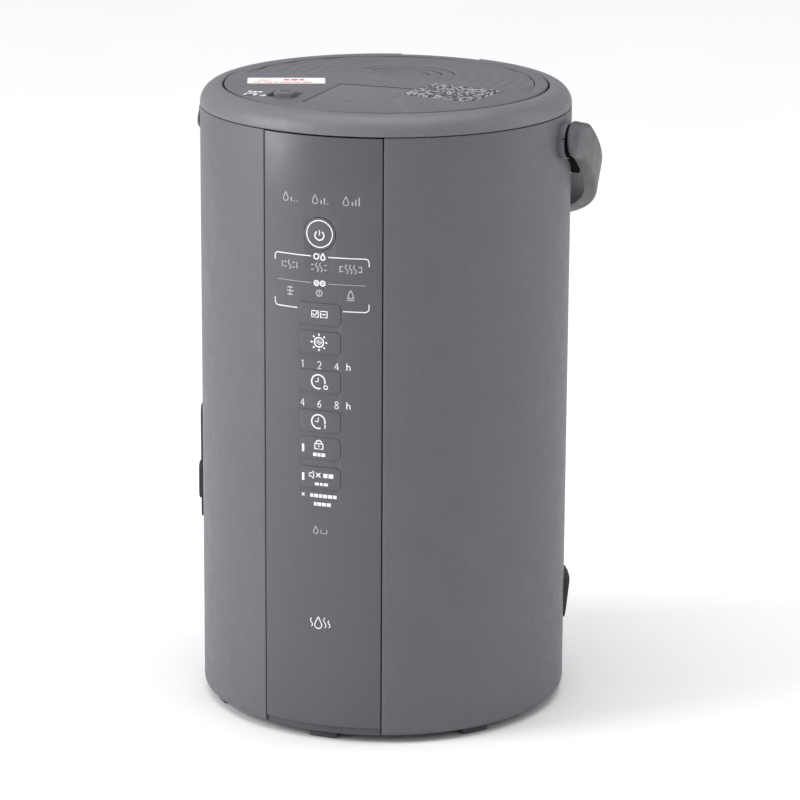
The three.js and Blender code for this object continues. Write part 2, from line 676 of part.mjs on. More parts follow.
function buildHandle(group) {
  const bail = new THREE.Group();
  bail.position.z = HANDLE_PIVOT_Z;
  const plane = BAIL_PLANE;
  const half = BAIL_HALF;
  const outer = bailOutline(HANDLE_HALF_SPAN - 0.4, HANDLE_REACH, 48);
  const inner = bailOutline(HANDLE_HALF_SPAN - 7.8, HANDLE_REACH - 10, 48);
  const arch = prism(new THREE.Shape([...outer, ...inner.reverse()]), plane - half, plane + half);
  const roots = box(-150, 150, -5, 20, -50, 50);
  const eyeRelief = rod("x", BOSS_R + 1, -ARM_EYE_X, ARM_EYE_X, 24);
  let body = cut(arch, roots);

  // Arm roots: a round eye at the pivot that runs into the arch.
  for (const side of [1, -1]) {
    const s = new THREE.Shape();
    s.absarc(0, 1.5, 10.5, rad(110), rad(290));
    s.lineTo(22.6, plane - half);
    s.lineTo(30, plane + half);
    s.lineTo(18, plane + half);
    const root = new THREE.ExtrudeGeometry(s, { depth: 6.9, bevelEnabled: false, curveSegments: 14 });
    root.rotateY(Math.PI / 2).rotateX(Math.PI / 2);
    root.translate(side > 0 ? HANDLE_HALF_SPAN - 7.7 : 0.8 - HANDLE_HALF_SPAN, 0, 0);
    body = join(body, root);
  }
  // Blind sockets on the inside of the eyes take the pins of the bosses.
  const sockets = rod("x", 5.3, -SOCKET_X, SOCKET_X, 24);
  body = cut(body, eyeRelief, sockets);
  const tilt = rad(HANDLE_REST_DEG);
  add(bail, "handle", body.rotateX(tilt), M.handle);

  // Soft grip pad let into the inside of the arch.
  const pad = prism(
    new THREE.Shape([
      ...bailOutline(HANDLE_HALF_SPAN - 8.2, HANDLE_REACH - 10.4, 48),
      ...bailOutline(HANDLE_HALF_SPAN - 11, HANDLE_REACH - 14, 48).reverse(),
    ]),
    plane - 7, plane + 7,
  );
  const keep = box(-42, 42, 100, 200, -50, 50);
  add(bail, "handle_grip", common(pad, keep).rotateX(tilt), M.rubber);
  group.add(bail);

  for (const [name, a] of [["pivot_boss_left", -90], ["pivot_boss_right", 90]]) {
    const boss = join(
      frontPlug(circle(BOSS_R), HANDLE_PIVOT_Z, BODY_R - 2, ARM_EYE_X - GAP),
      frontPlug(circle(8.6), HANDLE_PIVOT_Z, 103, BODY_R),
      frontPlug(circle(4.9), HANDLE_PIVOT_Z, BODY_R, SOCKET_X - 0.4),
    );
    const shellSkin = ring(BODY_R - WALL - GAP, BODY_R + GAP, 300, SEAM_Z);
    const core = frontPlug(circle(8.6), HANDLE_PIVOT_Z, 90, 120);
    const notch = cut(shellSkin, atAzimuth(core, a));
    add(group, name, cut(atAzimuth(boss, a), notch), M.shell);
  }
}

// Rubber stops beside the pivots, on which the arms of the hanging bail rest. They taper towards
// the rear, so that they stay inside the arms' sweep.
function buildStops(group) {
  const plan = new THREE.Shape([
    v2(95, 3), v2(111.4, 3), v2(111.4, 18), v2(110.8, 24), v2(109.9, 32), v2(108.4, 41), v2(95, 41),
  ]);
  const slab = prism(plan, 300, 360);
  const outline = new THREE.Shape([
    v2(5.2, -10.6), v2(24, -19), v2(36.5, -26.4), v2(39.5, -25.4), v2(40, -23),
    v2(40, -16), v2(24, -9), v2(13, -4), v2(11.2, -4.4), v2(9, -7.8),
  ]);
  const side = prism(outline, 95, 115).rotateX(Math.PI / 2).rotateZ(Math.PI / 2);
  side.translate(0, 0, HANDLE_PIVOT_Z);
  const right = cut(common(slab, side), disc(BODY_R + 0.05, 300, 370));
  const left = right.clone().scale(-1, 1, 1);
  add(group, "handle_stop_right", right, M.rubber);
  add(group, "handle_stop_left", geometryOf(solid(left)), M.rubber);
}

buildCasing(humidifier);
buildShoulder(humidifier);
buildPot(humidifier);
buildElectronics(humidifier);
buildFan(humidifier);
buildLid(humidifier);
buildSteamOutlet(humidifier);
buildLever(humidifier);
buildKeys(humidifier);
buildHandle(humidifier);
buildStops(humidifier);

export default humidifier;
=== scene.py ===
"""Pot-type steam humidifier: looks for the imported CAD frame.

Lengths in this script are millimetres about the body's own axis, with the floor at z = 0,
and place() turns them into metres in the row frame. Azimuth runs from the front (-Y) to +X.
"""

import math
import random

import bpy
import bmesh
from mathutils import Matrix, Vector


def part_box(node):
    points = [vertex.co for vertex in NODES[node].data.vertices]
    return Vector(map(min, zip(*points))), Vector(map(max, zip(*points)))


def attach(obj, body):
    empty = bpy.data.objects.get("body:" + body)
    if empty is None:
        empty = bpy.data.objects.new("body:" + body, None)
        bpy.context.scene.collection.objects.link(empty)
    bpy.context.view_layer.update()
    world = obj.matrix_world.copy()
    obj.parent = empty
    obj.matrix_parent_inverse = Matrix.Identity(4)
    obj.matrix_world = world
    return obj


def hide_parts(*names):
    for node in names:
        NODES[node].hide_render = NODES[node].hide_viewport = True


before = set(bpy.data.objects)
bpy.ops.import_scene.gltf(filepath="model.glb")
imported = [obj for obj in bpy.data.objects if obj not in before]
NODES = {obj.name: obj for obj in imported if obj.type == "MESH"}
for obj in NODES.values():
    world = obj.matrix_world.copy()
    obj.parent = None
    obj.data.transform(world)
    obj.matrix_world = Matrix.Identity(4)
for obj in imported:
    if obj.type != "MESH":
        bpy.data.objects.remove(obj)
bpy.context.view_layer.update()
pot_low, pot_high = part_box("inner_pot")
AXIS_Y = (pot_low.y + pot_high.y) / 2  # the body's axis in the row frame
MM = 0.001

# Main dimensions, as in the CAD model
HEIGHT = 375
BODY_R = 110
SEAM_Z = 363
PANEL_R = 109.8
PANEL_EDGE = 19.03
DOORWAY = 19.45
LID_R = 95.5
PIVOT_Z = 347.5
REST_TILT = math.radians(-30.5)
FAN_AZ, FAN_Z = -81, 140
INTAKE_W, INTAKE_H = 40, 71
INLET_AZ, INLET_Z = 112, 58
INLET_W, INLET_H = 26, 28
FEET = 7
FOOT_STEP = 360 / FEET
SCREW_R, SCREW_AZ = 84, 26
HINGE_Y, HINGE_Z = 99, 367.5
LEVER_Y, LEVER_Z = -20.5, HEIGHT - 6.5
RIPPLE_Y, RIPPLE_PITCH = 25, 7.6
RIPPLE_START, RIPPLE_END = 10, 112
KEYS = {"key_select": 259, "key_light": 242.4, "key_off_timer": 219.2,
        "key_on_timer": 195.4, "key_lock": 179.2, "key_quiet": 161.5}
KEY_W, KEY_H, KEY_GAP = 25.2, 12.8, 0.12
KEY_FACE = BODY_R + 0.12
POWER_Z = 306
INK_LIFT = 0.04


def place(p):
    """A point in millimetres about the body's axis, in metres in the row frame."""
    return (p[0] * MM, p[1] * MM + AXIS_Y, p[2] * MM)


# ---------------------------------------- materials
def srgb(r, g, b):
    """Linear colour from 0-255 display values."""
    def lin(v):
        v /= 255
        return v / 12.92 if v <= 0.04045 else ((v + 0.055) / 1.055) ** 2.4
    return (lin(r), lin(g), lin(b), 1)


class Nodes:
    """A material's node tree, with short calls to add and link nodes."""

    def __init__(self, name):
        self.mat = bpy.data.materials.new(name)
        self.mat.use_nodes = True
        self.tree = self.mat.node_tree
        self.bsdf = self.tree.nodes["Principled BSDF"]
        self.coord = self.add("TexCoord").outputs["Object"]

    def add(self, kind, inputs=None):
        """A new node with some of its inputs set."""
        node = self.tree.nodes.new("ShaderNode" + kind)
        for key, value in (inputs or {}).items():
            node.inputs[key].default_value = value
        return node

    def link(self, a, b):
        self.tree.links.new(a, b)

    def texture(self, kind, inputs, source=None):
        """A texture on the object's own coordinates, or on the source given."""
        node = self.add("Tex" + kind, inputs)
        self.link(source or self.coord, node.inputs["Vector"])
        return node

    def noise(self, scale, detail, stretch=None):
        source = None
        if stretch:
            mapping = self.add("Mapping", {"Scale": stretch})
            self.link(self.coord, mapping.inputs["Vector"])
            source = mapping.outputs["Vector"]
        return self.texture("Noise", {"Scale": scale, "Detail": detail}, source).outputs["Fac"]

    def ramp(self, fac, stops):
        """A colour ramp over fac: stops are (position, colour)."""
        node = self.add("ValToRGB")
        elements = node.color_ramp.elements
        while len(elements) < len(stops):
            elements.new(0.5)
        for element, (at, colour) in zip(elements, stops):
            element.position = at
            element.color = colour
        self.link(fac, node.inputs["Fac"])
        return node.outputs["Color"]

    def drift(self, fac, colour, low, high, end=0.7):
        """The colour as it wanders between two shades of itself."""
        return self.ramp(fac, [(0.3, scaled(colour, low)), (end, scaled(colour, high))])

    def span(self, fac, low, high, to_low, to_high):
        """Maps fac from low..high to to_low..to_high."""
        node = self.add("MapRange", {"From Min": low, "From Max": high,
                                     "To Min": to_low, "To Max": to_high})
        self.link(fac, node.inputs["Value"])
        return node.outputs["Result"]

    def mix(self, fac, a, b, blend="MIX"):
        """Mixes two colours; each value is a socket or a constant."""
        node = self.add("Mix")
        node.data_type = "RGBA"
        node.blend_type = blend
        for value, socket in ((fac, 0), (a, 6), (b, 7)):
            if isinstance(value, bpy.types.NodeSocket):
                self.link(value, node.inputs[socket])
            else:
                node.inputs[socket].default_value = value
        return node.outputs[2]

    def bump(self, height, strength, distance, under=None):
        """Adds a bump to the shader's normal, over another bump if one is given."""
        node = self.add("Bump", {"Strength": strength, "Distance": distance})
        self.link(height, node.inputs["Height"])
        if under is not None:
            self.link(under, node.inputs["Normal"])
        self.link(node.outputs["Normal"], self.bsdf.inputs["Normal"])
        return node.outputs["Normal"]

    def paint(self, colour):
        self.link(colour, self.bsdf.inputs["Base Color"])

    def roughen(self, fac, low, high):
        """Lets the roughness wander between two values."""
        self.link(self.span(fac, 0.3, 0.7, low, high), self.bsdf.inputs["Roughness"])


def scaled(colour, k):
    return tuple(c * k for c in colour[:3]) + (1,)


def moulded(name, colour, rough, grain=1500, depth=0.00004, mottle=0.03, wear=0.25):
    """Moulded plastic: fine spark-eroded grain, faint tone drift, and paler, rubbed edges."""
    n = Nodes(name)
    tone = n.drift(n.noise(38, 4), colour, 1 - mottle, 1 + mottle)
    fine = n.noise(grain * 0.5, 2)
    speck = n.ramp(fine, [(0.35, (0.94, 0.94, 0.94, 1)), (0.65, (1.05, 1.05, 1.05, 1))])
    tone = n.mix(1.0, tone, speck, "MULTIPLY")
    point = n.add("NewGeometry").outputs["Pointiness"]
    edge = n.span(point, 0.515, 0.58, 0, wear)
    tone = n.mix(edge, tone, scaled(colour, 1.5))
    n.paint(tone)
    n.roughen(n.noise(120, 5), rough - 0.05, rough + 0.05)
    pits = n.texture("Voronoi", {"Scale": grain})
    under = n.bump(pits.outputs["Distance"], 0.5, depth)
    n.bump(n.noise(22, 2), 0.12, 0.0006, under)
    return n.mat


def brushed(name, colour, rough, stretch=(1, 1, 30), smear=0.17):
    """Sheet metal with a directional brushed grain and faint smears."""
    n = Nodes(name)
    lines = n.noise(60, 3, stretch)
    n.paint(n.drift(lines, colour, 0.82, 1.08))
    n.bsdf.inputs["Metallic"].default_value = 1
    n.roughen(n.noise(60, 4), rough - 0.4 * smear, rough + 0.6 * smear)
    n.bump(lines, 0.25, 0.00003)
    return n.mat


def coated_pot(name):
    """Dark non-stick coating with fine pale specks."""
    n = Nodes(name)
    base = srgb(58, 58, 61)
    specks = n.texture("Voronoi", {"Scale": 700})
    spot = n.ramp(specks.outputs["Distance"], [(0.10, (1, 1, 1, 1)), (0.16, (0, 0, 0, 1))])
    pick = n.ramp(n.noise(300, 1), [(0.56, (0, 0, 0, 1)), (0.6, (1, 1, 1, 1))])
    tone = n.drift(n.noise(30, 3), base, 0.9, 1.12)
    both = n.mix(1.0, spot, pick, "MULTIPLY")
    n.paint(n.mix(n.span(both, 0, 1, 0, 0.5), tone, srgb(170, 170, 172)))
    n.roughen(n.noise(90, 3), 0.36, 0.5)
    n.bump(n.noise(800, 2), 0.3, 0.00005)
    return n.mat


def soft_rubber(name, colour, rough, grain=900, shine=0.35):
    """Matt elastomer with a powdery bloom."""
    n = Nodes(name)
    n.paint(n.drift(n.noise(55, 5), colour, 0.88, 1.16, 0.72))
    n.roughen(n.noise(160, 4), rough - 0.08, rough + 0.06)
    n.bsdf.inputs["Specular IOR Level"].default_value = shine
    n.bump(n.noise(grain, 3), 0.35, 0.00008)
    return n.mat


def circuit_board(name):
    """Green solder mask with paler copper tracks under it."""
    n = Nodes(name)
    brick = n.texture("Brick", {"Scale": 150, "Mortar Size": 0.05, "Mortar": srgb(52, 128, 84),
                                "Color1": srgb(20, 78, 50), "Color2": srgb(26, 92, 58)})
    n.paint(n.mix(n.noise(200, 2), brick.outputs["Color"], srgb(18, 70, 46)))
    n.roughen(n.noise(100, 2), 0.32, 0.5)
    n.bump(brick.outputs["Fac"], 0.4, 0.00006)
    return n.mat


def filter_mesh(name):
    """Woven dust filter: a fine square net of dark yarn."""
    n = Nodes(name)
    nets = []
    for axis in ("Y", "Z"):
        yarn = n.texture("Wave", {"Scale": 260, "Distortion": 0.4})
        yarn.bands_direction = axis
        nets.append(yarn.outputs["Fac"])
    net = n.mix(0.5, nets[0], nets[1], "LIGHTEN")
    n.paint(n.ramp(net, [(0.35, srgb(14, 14, 15)), (0.8, srgb(58, 58, 61))]))
    n.roughen(n.noise(80, 2), 0.85, 0.98)
    n.bump(net, 0.8, 0.0003)
    return n.mat


def ink(name, colour, rough=0.55):
    """Screen-printed ink: slightly uneven cover and a dry surface."""
    n = Nodes(name)
    n.paint(n.drift(n.noise(700, 3), colour, 0.86, 1.03))
    n.roughen(n.noise(300, 2), rough - 0.06, rough + 0.08)
    n.bump(n.noise(1500, 2), 0.2, 0.00002)
    return n.mat


SHELL = moulded("shell_plastic", srgb(91, 90, 96), 0.5)
# The ring is set paler than the shell as a painted highlight: it stands in for the light on its
# up-facing shoulder.
RING_PAINTED_HIGHLIGHT = moulded("ring_plastic_painted_highlight", srgb(105, 104, 110), 0.45)
# The lid is set a touch paler than the shell as a faint painted reflection, for the sheen on its
# front.
LID_PAINTED_SHEEN = moulded("lid_plastic_painted_sheen", srgb(93, 92, 98), 0.47)
# The panel's darker tone is its own finish; it is set a little darker still as painted shade for
# the panel's lower part.
PANEL_TONE_AND_SHADE = moulded("panel_plastic_and_painted_shade", srgb(81, 80, 86), 0.36, grain=2200, depth=0.00002, mottle=0.02)
KEY = moulded("key_plastic", srgb(82, 81, 87), 0.4, grain=2200, depth=0.00002, mottle=0.02)
HANDLE = moulded("handle_plastic", srgb(70, 69, 74), 0.47)
BASE = moulded("base_plastic", srgb(70, 69, 74), 0.55)
DARK = moulded("dark_plastic", srgb(18, 18, 20), 0.55, wear=0.15)
WHITE = moulded("white_plastic", srgb(226, 224, 218), 0.55, wear=0.0)
RUBBER = soft_rubber("foot_rubber", srgb(70, 70, 74), 0.85)
GRIP = soft_rubber("grip_rubber", srgb(80, 79, 84), 0.8)
# Near-black rubber for the stops and washers; its black, dulled further with low specular, also
# paints the shade in the gap between arm and body.
STOP_BLACK_AND_SHADE = soft_rubber("stop_rubber_and_painted_shade", srgb(6, 6, 7), 0.95, shine=0.08)
SILICONE = soft_rubber("gasket_silicone", srgb(214, 212, 206), 0.6, 400)
POT = coated_pot("pot_coating")
STEEL = brushed("sheet_steel", srgb(186, 187, 190), 0.3)
PLATE = brushed("inner_lid_steel", srgb(190, 191, 194), 0.56, (30, 1, 1), smear=0.03)
BRASS = brushed("brass_contacts", srgb(206, 168, 88), 0.3, (30, 1, 1))
BOARD = circuit_board("circuit_board")
FILTER = filter_mesh("filter_mesh")
INK = ink("print_white", srgb(236, 236, 238))
INK_DIM = ink("print_grey", srgb(176, 176, 181))
INK_DARK = ink("print_dark", srgb(40, 40, 44))
INK_RED = ink("print_red", srgb(216, 84, 74))
STICKER = ink("sticker_film", srgb(240, 240, 238), 0.4)
EMBOSS = ink("embossed_mark", srgb(88, 87, 94))

# Finishes of the CAD nodes that stay, and of the ones that better pieces replace below
FINISH = {
    SHELL: ["body_shell", "shoulder_ring", "pivot_boss_left", "pivot_boss_right"],
    PANEL_TONE_AND_SHADE: ["front_panel"],
    LID_PAINTED_SHEEN: ["lid_cover", "lid_base", "steam_outlet", "lever_flap", "lock_slider"],
    HANDLE: ["handle"],
    KEY: ["key_power", *KEYS],
    BASE: ["base_pan"],
    DARK: ["panel_carrier", "hinge_post_left", "hinge_post_right", "thermostat", "power_relay",
           "power_inlet", "intake_cover", "fan_housing", "air_duct"],
    STOP_BLACK_AND_SHADE: ["handle_stop_left", "handle_stop_right"],
    RUBBER: ["handle_grip"] + ["foot_%d" % (i + 1) for i in range(FEET)],
    SILICONE: ["lid_gasket"],
    WHITE: ["thermal_fuse", "fan_impeller", "humidity_sensor", "steam_duct", "latch"],
    POT: ["inner_pot"],
    STEEL: ["hinge_pin", "pot_heater", "pot_sensor", "heat_shield", "fan_motor", "hinge_spring",
            "lever_pin", "latch_spring"],
    PLATE: ["inner_lid"],
    BRASS: ["transformer", "inlet_contact_upper", "inlet_contact_lower"],
    BOARD: ["main_board", "display_board"],
    FILTER: ["intake_filter"],
}
for finish, names in FINISH.items():
    for name in names:
        NODES[name].data.materials.clear()
        NODES[name].data.materials.append(finish)


# ---------------------------------------- mesh tools
def in_scene(name, data):
    """A new object for a mesh, light or camera."""
    obj = bpy.data.objects.new(name, data)
    bpy.context.scene.collection.objects.link(obj)
    return obj


def raw_object(name, verts, faces):
    mesh = bpy.data.meshes.new(name)
    mesh.from_pydata([place(v) for v in verts], [], faces)
    return in_scene(name, mesh)


def loft(name, loops, closed=False, capped=True):
    """A skin over matching loops of points, which closes on itself or is capped at its ends."""
    m, count = len(loops[0]), len(loops)
    faces = []
    for i in range(count if closed else count - 1):
        j = (i + 1) % count
        for k in range(m):
            q = (k + 1) % m
            faces.append((i * m + k, i * m + q, j * m + q, j * m + k))
    if capped and not closed:
        faces += [tuple(range(m)), tuple(reversed(range((count - 1) * m, count * m)))]
    obj = raw_object(name, [p for loop in loops for p in loop], faces)
    mesh = obj.data
    bm = bmesh.new()
    bm.from_mesh(mesh)
    bmesh.ops.remove_doubles(bm, verts=bm.verts, dist=1e-7)
    bmesh.ops.dissolve_degenerate(bm, edges=bm.edges, dist=1e-8)
    bmesh.ops.recalc_face_normals(bm, faces=bm.faces)
    bm.to_mesh(mesh)
    bm.free()
    return obj


def apply_modifiers(obj):
    """Makes the result of the object's modifiers its mesh."""
    graph = bpy.context.evaluated_depsgraph_get()
    mesh = bpy.data.meshes.new_from_object(obj.evaluated_get(graph))
    obj.modifiers.clear()
    obj.data = mesh
    return obj


def boolean(obj, tools, operation="DIFFERENCE"):
    """Cuts, joins or trims the object with the tools, which are then deleted."""
    for tool in tools:
        mod = obj.modifiers.new("cut", "BOOLEAN")
        mod.operation = operation
        mod.solver = "EXACT"
        mod.object = tool
    apply_modifiers(obj)
    for tool in tools:
        bpy.data.objects.remove(tool)
    return obj


def eased(obj, width, segments=2, angle=45):
    """Rounds the object's sharp edges by width millimetres."""
    mod = obj.modifiers.new("ease", "BEVEL")
    mod.width = width * MM
    mod.segments = segments
    mod.limit_method = "ANGLE"
    mod.angle_limit = math.radians(angle)
    mod.miter_outer = "MITER_ARC"
    return apply_modifiers(obj)


def finished(obj, mat, body, replaces=(), sharp=35):
    """Gives a piece its shading, material and body, and the CAD nodes that it stands for."""
    obj.data.materials.clear()
    obj.data.materials.append(mat)
    obj.data.shade_smooth()
    obj.data.set_sharp_from_angle(angle=math.radians(sharp))
    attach(obj, body)
    if replaces:
        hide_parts(*replaces)
    return obj


def arc(cx, cz, r, start, end, steps):
    """Points of an arc in a (radius, height) profile, in degrees."""
    out = []
    for i in range(steps + 1):
        a = math.radians(start + (end - start) * i / steps)
        out.append((cx + r * math.cos(a), cz + r * math.sin(a)))
    return out


def around(r, az, z):
    """The (x, y, z) of a point at a radius and an azimuth."""
    a = math.radians(az)
    return (r * math.sin(a), -r * math.cos(a), z)


def revolve(name, profile, start=0, end=360, steps=240, centre=(0, 0)):
    """Turns a closed (radius, height) profile about a vertical axis, all round or in part."""
    whole = end - start >= 360
    loops = []
    for i in range(steps if whole else steps + 1):
        az = start + (end - start) * i / steps
        points = [around(r, az, z) for r, z in profile]
        loops.append([(x + centre[0], y + centre[1], z) for x, y, z in points])
    return loft(name, loops, closed=whole)


def prism(name, outline, z0, z1):
    """A vertical prism over an (x, y) outline."""
    return loft(name, [[(x, y, z) for x, y in outline] for z in (z0, z1)])


def plug(name, outline, z, r0, r1, az=0):
    """A prism that stands on the body: its outline lies in tangent and height, at an azimuth."""
    c, s = math.cos(math.radians(az)), math.sin(math.radians(az))
    return loft(name, [[(u * c + r * s, u * s - r * c, z + v) for u, v in outline]
                       for r in (r0, r1)])


def rect(u0, u1, v0, v1):
    return [(u0, v0), (u1, v0), (u1, v1), (u0, v1)]


def block(name, x0, x1, y0, y1, z0, z1):
    return prism(name, rect(x0, x1, y0, y1), z0, z1)


def rod_x(name, r, x0, x1, y, z, steps=48):
    """A round rod along X."""
    return loft(name, [[(x, y + u, z + v) for u, v in circle(r, steps)] for x in (x0, x1)])


def rounded(w, h, r):
    """Outline of a rounded rectangle about the origin."""
    out = []
    for cx, cy, start in ((w / 2 - r, -h / 2 + r, -90), (w / 2 - r, h / 2 - r, 0),
                          (-w / 2 + r, h / 2 - r, 90), (-w / 2 + r, -h / 2 + r, 180)):
        out += arc(cx, cy, r, start, start + 90, 6)
    return out


def circle(r, steps=48):
    return [(r * math.cos(2 * math.pi * i / steps), r * math.sin(2 * math.pi * i / steps))
            for i in range(steps)]


# ---------------------------------------- body shell and panel
def build_casing():
    top = SEAM_Z - 0.3
    profile = [(104.5, 4.3), *arc(106, 8.3, 4, -90, 0, 8), (110, 60), (110, 180), (110, 300),
               *arc(109.2, top - 0.8, 0.8, 0, 90, 4), (107.5, top), (107.5, 9), (104.5, 6.5)]
    shell = revolve("casing_shell", profile, DOORWAY, 360 - DOORWAY, 250)
    boolean(shell, [
        plug("hole", rounded(INTAKE_W, INTAKE_H, 5), FAN_Z, 100, 120, FAN_AZ),
        plug("hole", rounded(INLET_W, INLET_H, 5), INLET_Z, 95, 120, INLET_AZ),
    ])
    eased(shell, 0.35)
    finished(shell, SHELL, "body", ["body_shell"])

    z0, z1 = 9.5, SEAM_Z - 0.8
    rows = [z0 + (z1 - z0) * i / 8 for i in range(9)]
    profile = [(107.3, z1), (107.3, z0)] + [(PANEL_R, z) for z in rows]
    panel = revolve("printed_panel", profile, -PANEL_EDGE, PANEL_EDGE, 64)
    windows = [plug("hole", rounded(KEY_W, KEY_H, 2.5), z, 100, 115) for z in KEYS.values()]
    windows.append(plug("hole", circle(9.8), POWER_Z, 100, 115))
    boolean(panel, windows)
    eased(panel, 0.3)
    finished(panel, PANEL_TONE_AND_SHADE, "body", ["front_panel"])

    outline = rounded(KEY_W - KEY_GAP, KEY_H - KEY_GAP, 2.4)
    for name, z in KEYS.items():
        build_key(name, z, outline, KEY_FACE, 0.7)
    build_key("key_power", POWER_Z, circle(9.5), BODY_R + 0.05, 0.4)

    # The trim lip under the panel closes the gap above the base pan.
    pan = revolve("base_tray", [(0, 4), (102.6, 4), *arc(102.6, 5.2, 1.2, -90, 0, 3), (103.8, 12),
                                (101.5, 12), (101.5, 6.5), (0, 6.5)], steps=200)
    lip = revolve("lip", [(103, 4.6), (107.6, 4.6), *arc(107.6, 5.6, 1, -90, 0, 3), (108.6, 9),
                          (103, 9)], -PANEL_EDGE, PANEL_EDGE, 40)
    boolean(pan, [lip], "UNION")
    vents = [block("vent", -30, 30, y - 2, y + 2, 0, 10) for y in (-24, -12, 0, 12, 24)]
    wells = []
    for i in range(FEET):
        wx, wy, _ = around(SCREW_R, SCREW_AZ + FOOT_STEP * i, 0)
        wells.append(prism("well", [(wx + x, wy + y) for x, y in circle(4.4, 24)], 0, 5.6))
    boolean(pan, vents + wells)
    eased(pan, 0.3, 1)
    finished(pan, BASE, "body", ["base_pan"])
    for i in range(FEET):
        build_screw(SCREW_AZ + FOOT_STEP * i)
        foot = revolve("foot_pad_%d" % (i + 1), rect(92, 105, 0, 3.7),
                       FOOT_STEP * i - 4.8, FOOT_STEP * i + 4.8, 12)
        eased(foot, 1.0, 3)
        finished(foot, RUBBER, "body", ["foot_%d" % (i + 1)])


def build_key(name, z, outline, face, ease):
    """A key cap that follows the panel's curve, with a stem behind it."""
    cap = revolve(name + "_cap", rect(107.8, face, z - 11, z + 11), -8, 8, 32)
    boolean(cap, [plug("key", outline, z, 100, 115)], "INTERSECT")
    eased(cap, ease, 5)
    boolean(cap, [plug("stem", rounded(7.5, 7.5, 0.8), z, 101.5, 108)], "UNION")
    finished(cap, KEY, name, [name])


def build_screw(az):
    """A pan-head screw, seen from below, in its well in the base."""
    x, y, _ = around(SCREW_R, az, 0)
    head = [(0, 5.6), (3.4, 5.6), (3.4, 5.0), (2.9, 4.5), (1.6, 4.1), (0, 4.0)]
    screw = revolve("base_screw_%d" % round(az), head, steps=24, centre=(x, y))
    boolean(screw, [block("slot", x - a, x + a, y - b, y + b, 3, 4.9)
                    for a, b in ((1.9, 0.4), (0.4, 1.9))])
    finished(screw, STEEL, "body")


# ---------------------------------------- shoulder ring and lid
def build_shoulder():
    top = HEIGHT - 0.5
    outline = [(107.5, SEAM_Z + 0.2), *arc(109.7, SEAM_Z + 0.5, 0.3, -90, 0, 3),
               *arc(99, top - 11, 11, 0, 90, 20), *arc(97.6, top - 1, 1, 90, 180, 5),
               (96.6, 346), (83, 346), (83, 344), (98.9, 344), (98.9, top - 2.5),
               *arc(99, top - 11, 8.5, 90, 0, 6)]
    ring = revolve("shoulder_trim", outline, steps=300)
    notch = boolean(block("notch", -26, 26, 88, 107, 359.5, 380), [
        revolve("limit", rect(0, 106.4, 300, 400), steps=96)], "INTERSECT")
    pocket = block("pocket", -17, 17, -101, -94, 359.5, 365)
    boolean(ring, [notch, pocket])
    eased(ring, 0.3, 2, 50)
    finished(ring, RING_PAINTED_HIGHLIGHT, "body", ["shoulder_ring"])


def half_moon(inset):
    """Plan of the steam outlet: a shallow chevron in front and an arc behind."""
    r = 88 - inset
    start = math.atan2(-2 + inset, r)
    points = [(0, 22 + inset), (30, 22 + inset)]
    for i in range(91):
        a = start + (math.pi - 2 * start) * i / 90
        points.append((r * math.cos(a), r * math.sin(a)))
    points.append((-30, 22 + inset))
    return points


def build_lid():
    top = HEIGHT
    cover = revolve("lid_shell", [(0, top - 2.8), (93, top - 2.8), (93, 360), (LID_R, 360),
                                  *arc(LID_R - 1, top - 1, 1, 0, 90, 4), (0, top)], steps=240)
    boolean(cover, [
        prism("vent", half_moon(0), top - 10, top + 5),
        block("flap", -22.9, 22.9, -78.4, -15.6, top - 10, top + 5),
        block("slot", -50.4, -32, -69.1, -50.4, top - 10, top + 5),
        block("latch", -17, 17, -100, -90, 359, 365),
        block("relief", -54, 54, 60, 100, 355, top - 2.8),
        rod_x("relief", 8.2, -22.9, 22.9, LEVER_Y, LEVER_Z),
    ])
    boolean(cover, [rod_x("barrel", 5, -20.4, 20.4, HINGE_Y, HINGE_Z),
                    block("web", -20.4, 20.4, 88, HINGE_Y, 368, 372.5)], "UNION")
    boolean(cover, [rod_x("bore", 2.15, -40, 40, HINGE_Y, HINGE_Z, 24),
                    block("spring", -8, 8, 94.8, 110, 358.5, 376.5)])
    eased(cover, 0.3, 2, 50)
    finished(cover, LID_PAINTED_SHEEN, "lid", ["lid_cover"])

    profile = [(16, 352.3), (60, 352.3), (62, 353.2), (66, 353.2), (68, 352.3),
               *arc(88.5, 353.8, 1.5, -90, 0, 4), (90, 357), (95, 357), (95, 359.7), (88, 359.7),
               (88, 354.5), (16, 354.5)]
    under = revolve("lid_underside", profile, steps=180)
    finished(under, LID_PAINTED_SHEEN, "lid", ["lid_base"])
    profile = [(0, 348.6), (20, 348.6), (22, 348), (70, 348), (72, 348.8), (78, 348.8),
               *arc(78, 349.8, 1, -90, 0, 3), (79, 351.8), (0, 351.8)]
    plate = revolve("inner_lid_plate", profile, steps=160)
    holes = [prism("hole", [(x + cx, y + cy) for x, y in circle(3, 20)], 340, 360)
             for cx, cy in circle(9, 6)]
    boolean(plate, holes)
    finished(plate, PLATE, "lid", ["inner_lid"])
    profile = [(81, 351.8), (82.2, 349.4), (83, 348.4), *arc(84.5, 348.9, 0.7, -90, 0, 3),
               (85.6, 348.3), (86.2, 348.7), (87, 351.8)]
    seal = revolve("lid_seal", profile, steps=180)
    finished(seal, SILICONE, "lid", ["lid_gasket"])


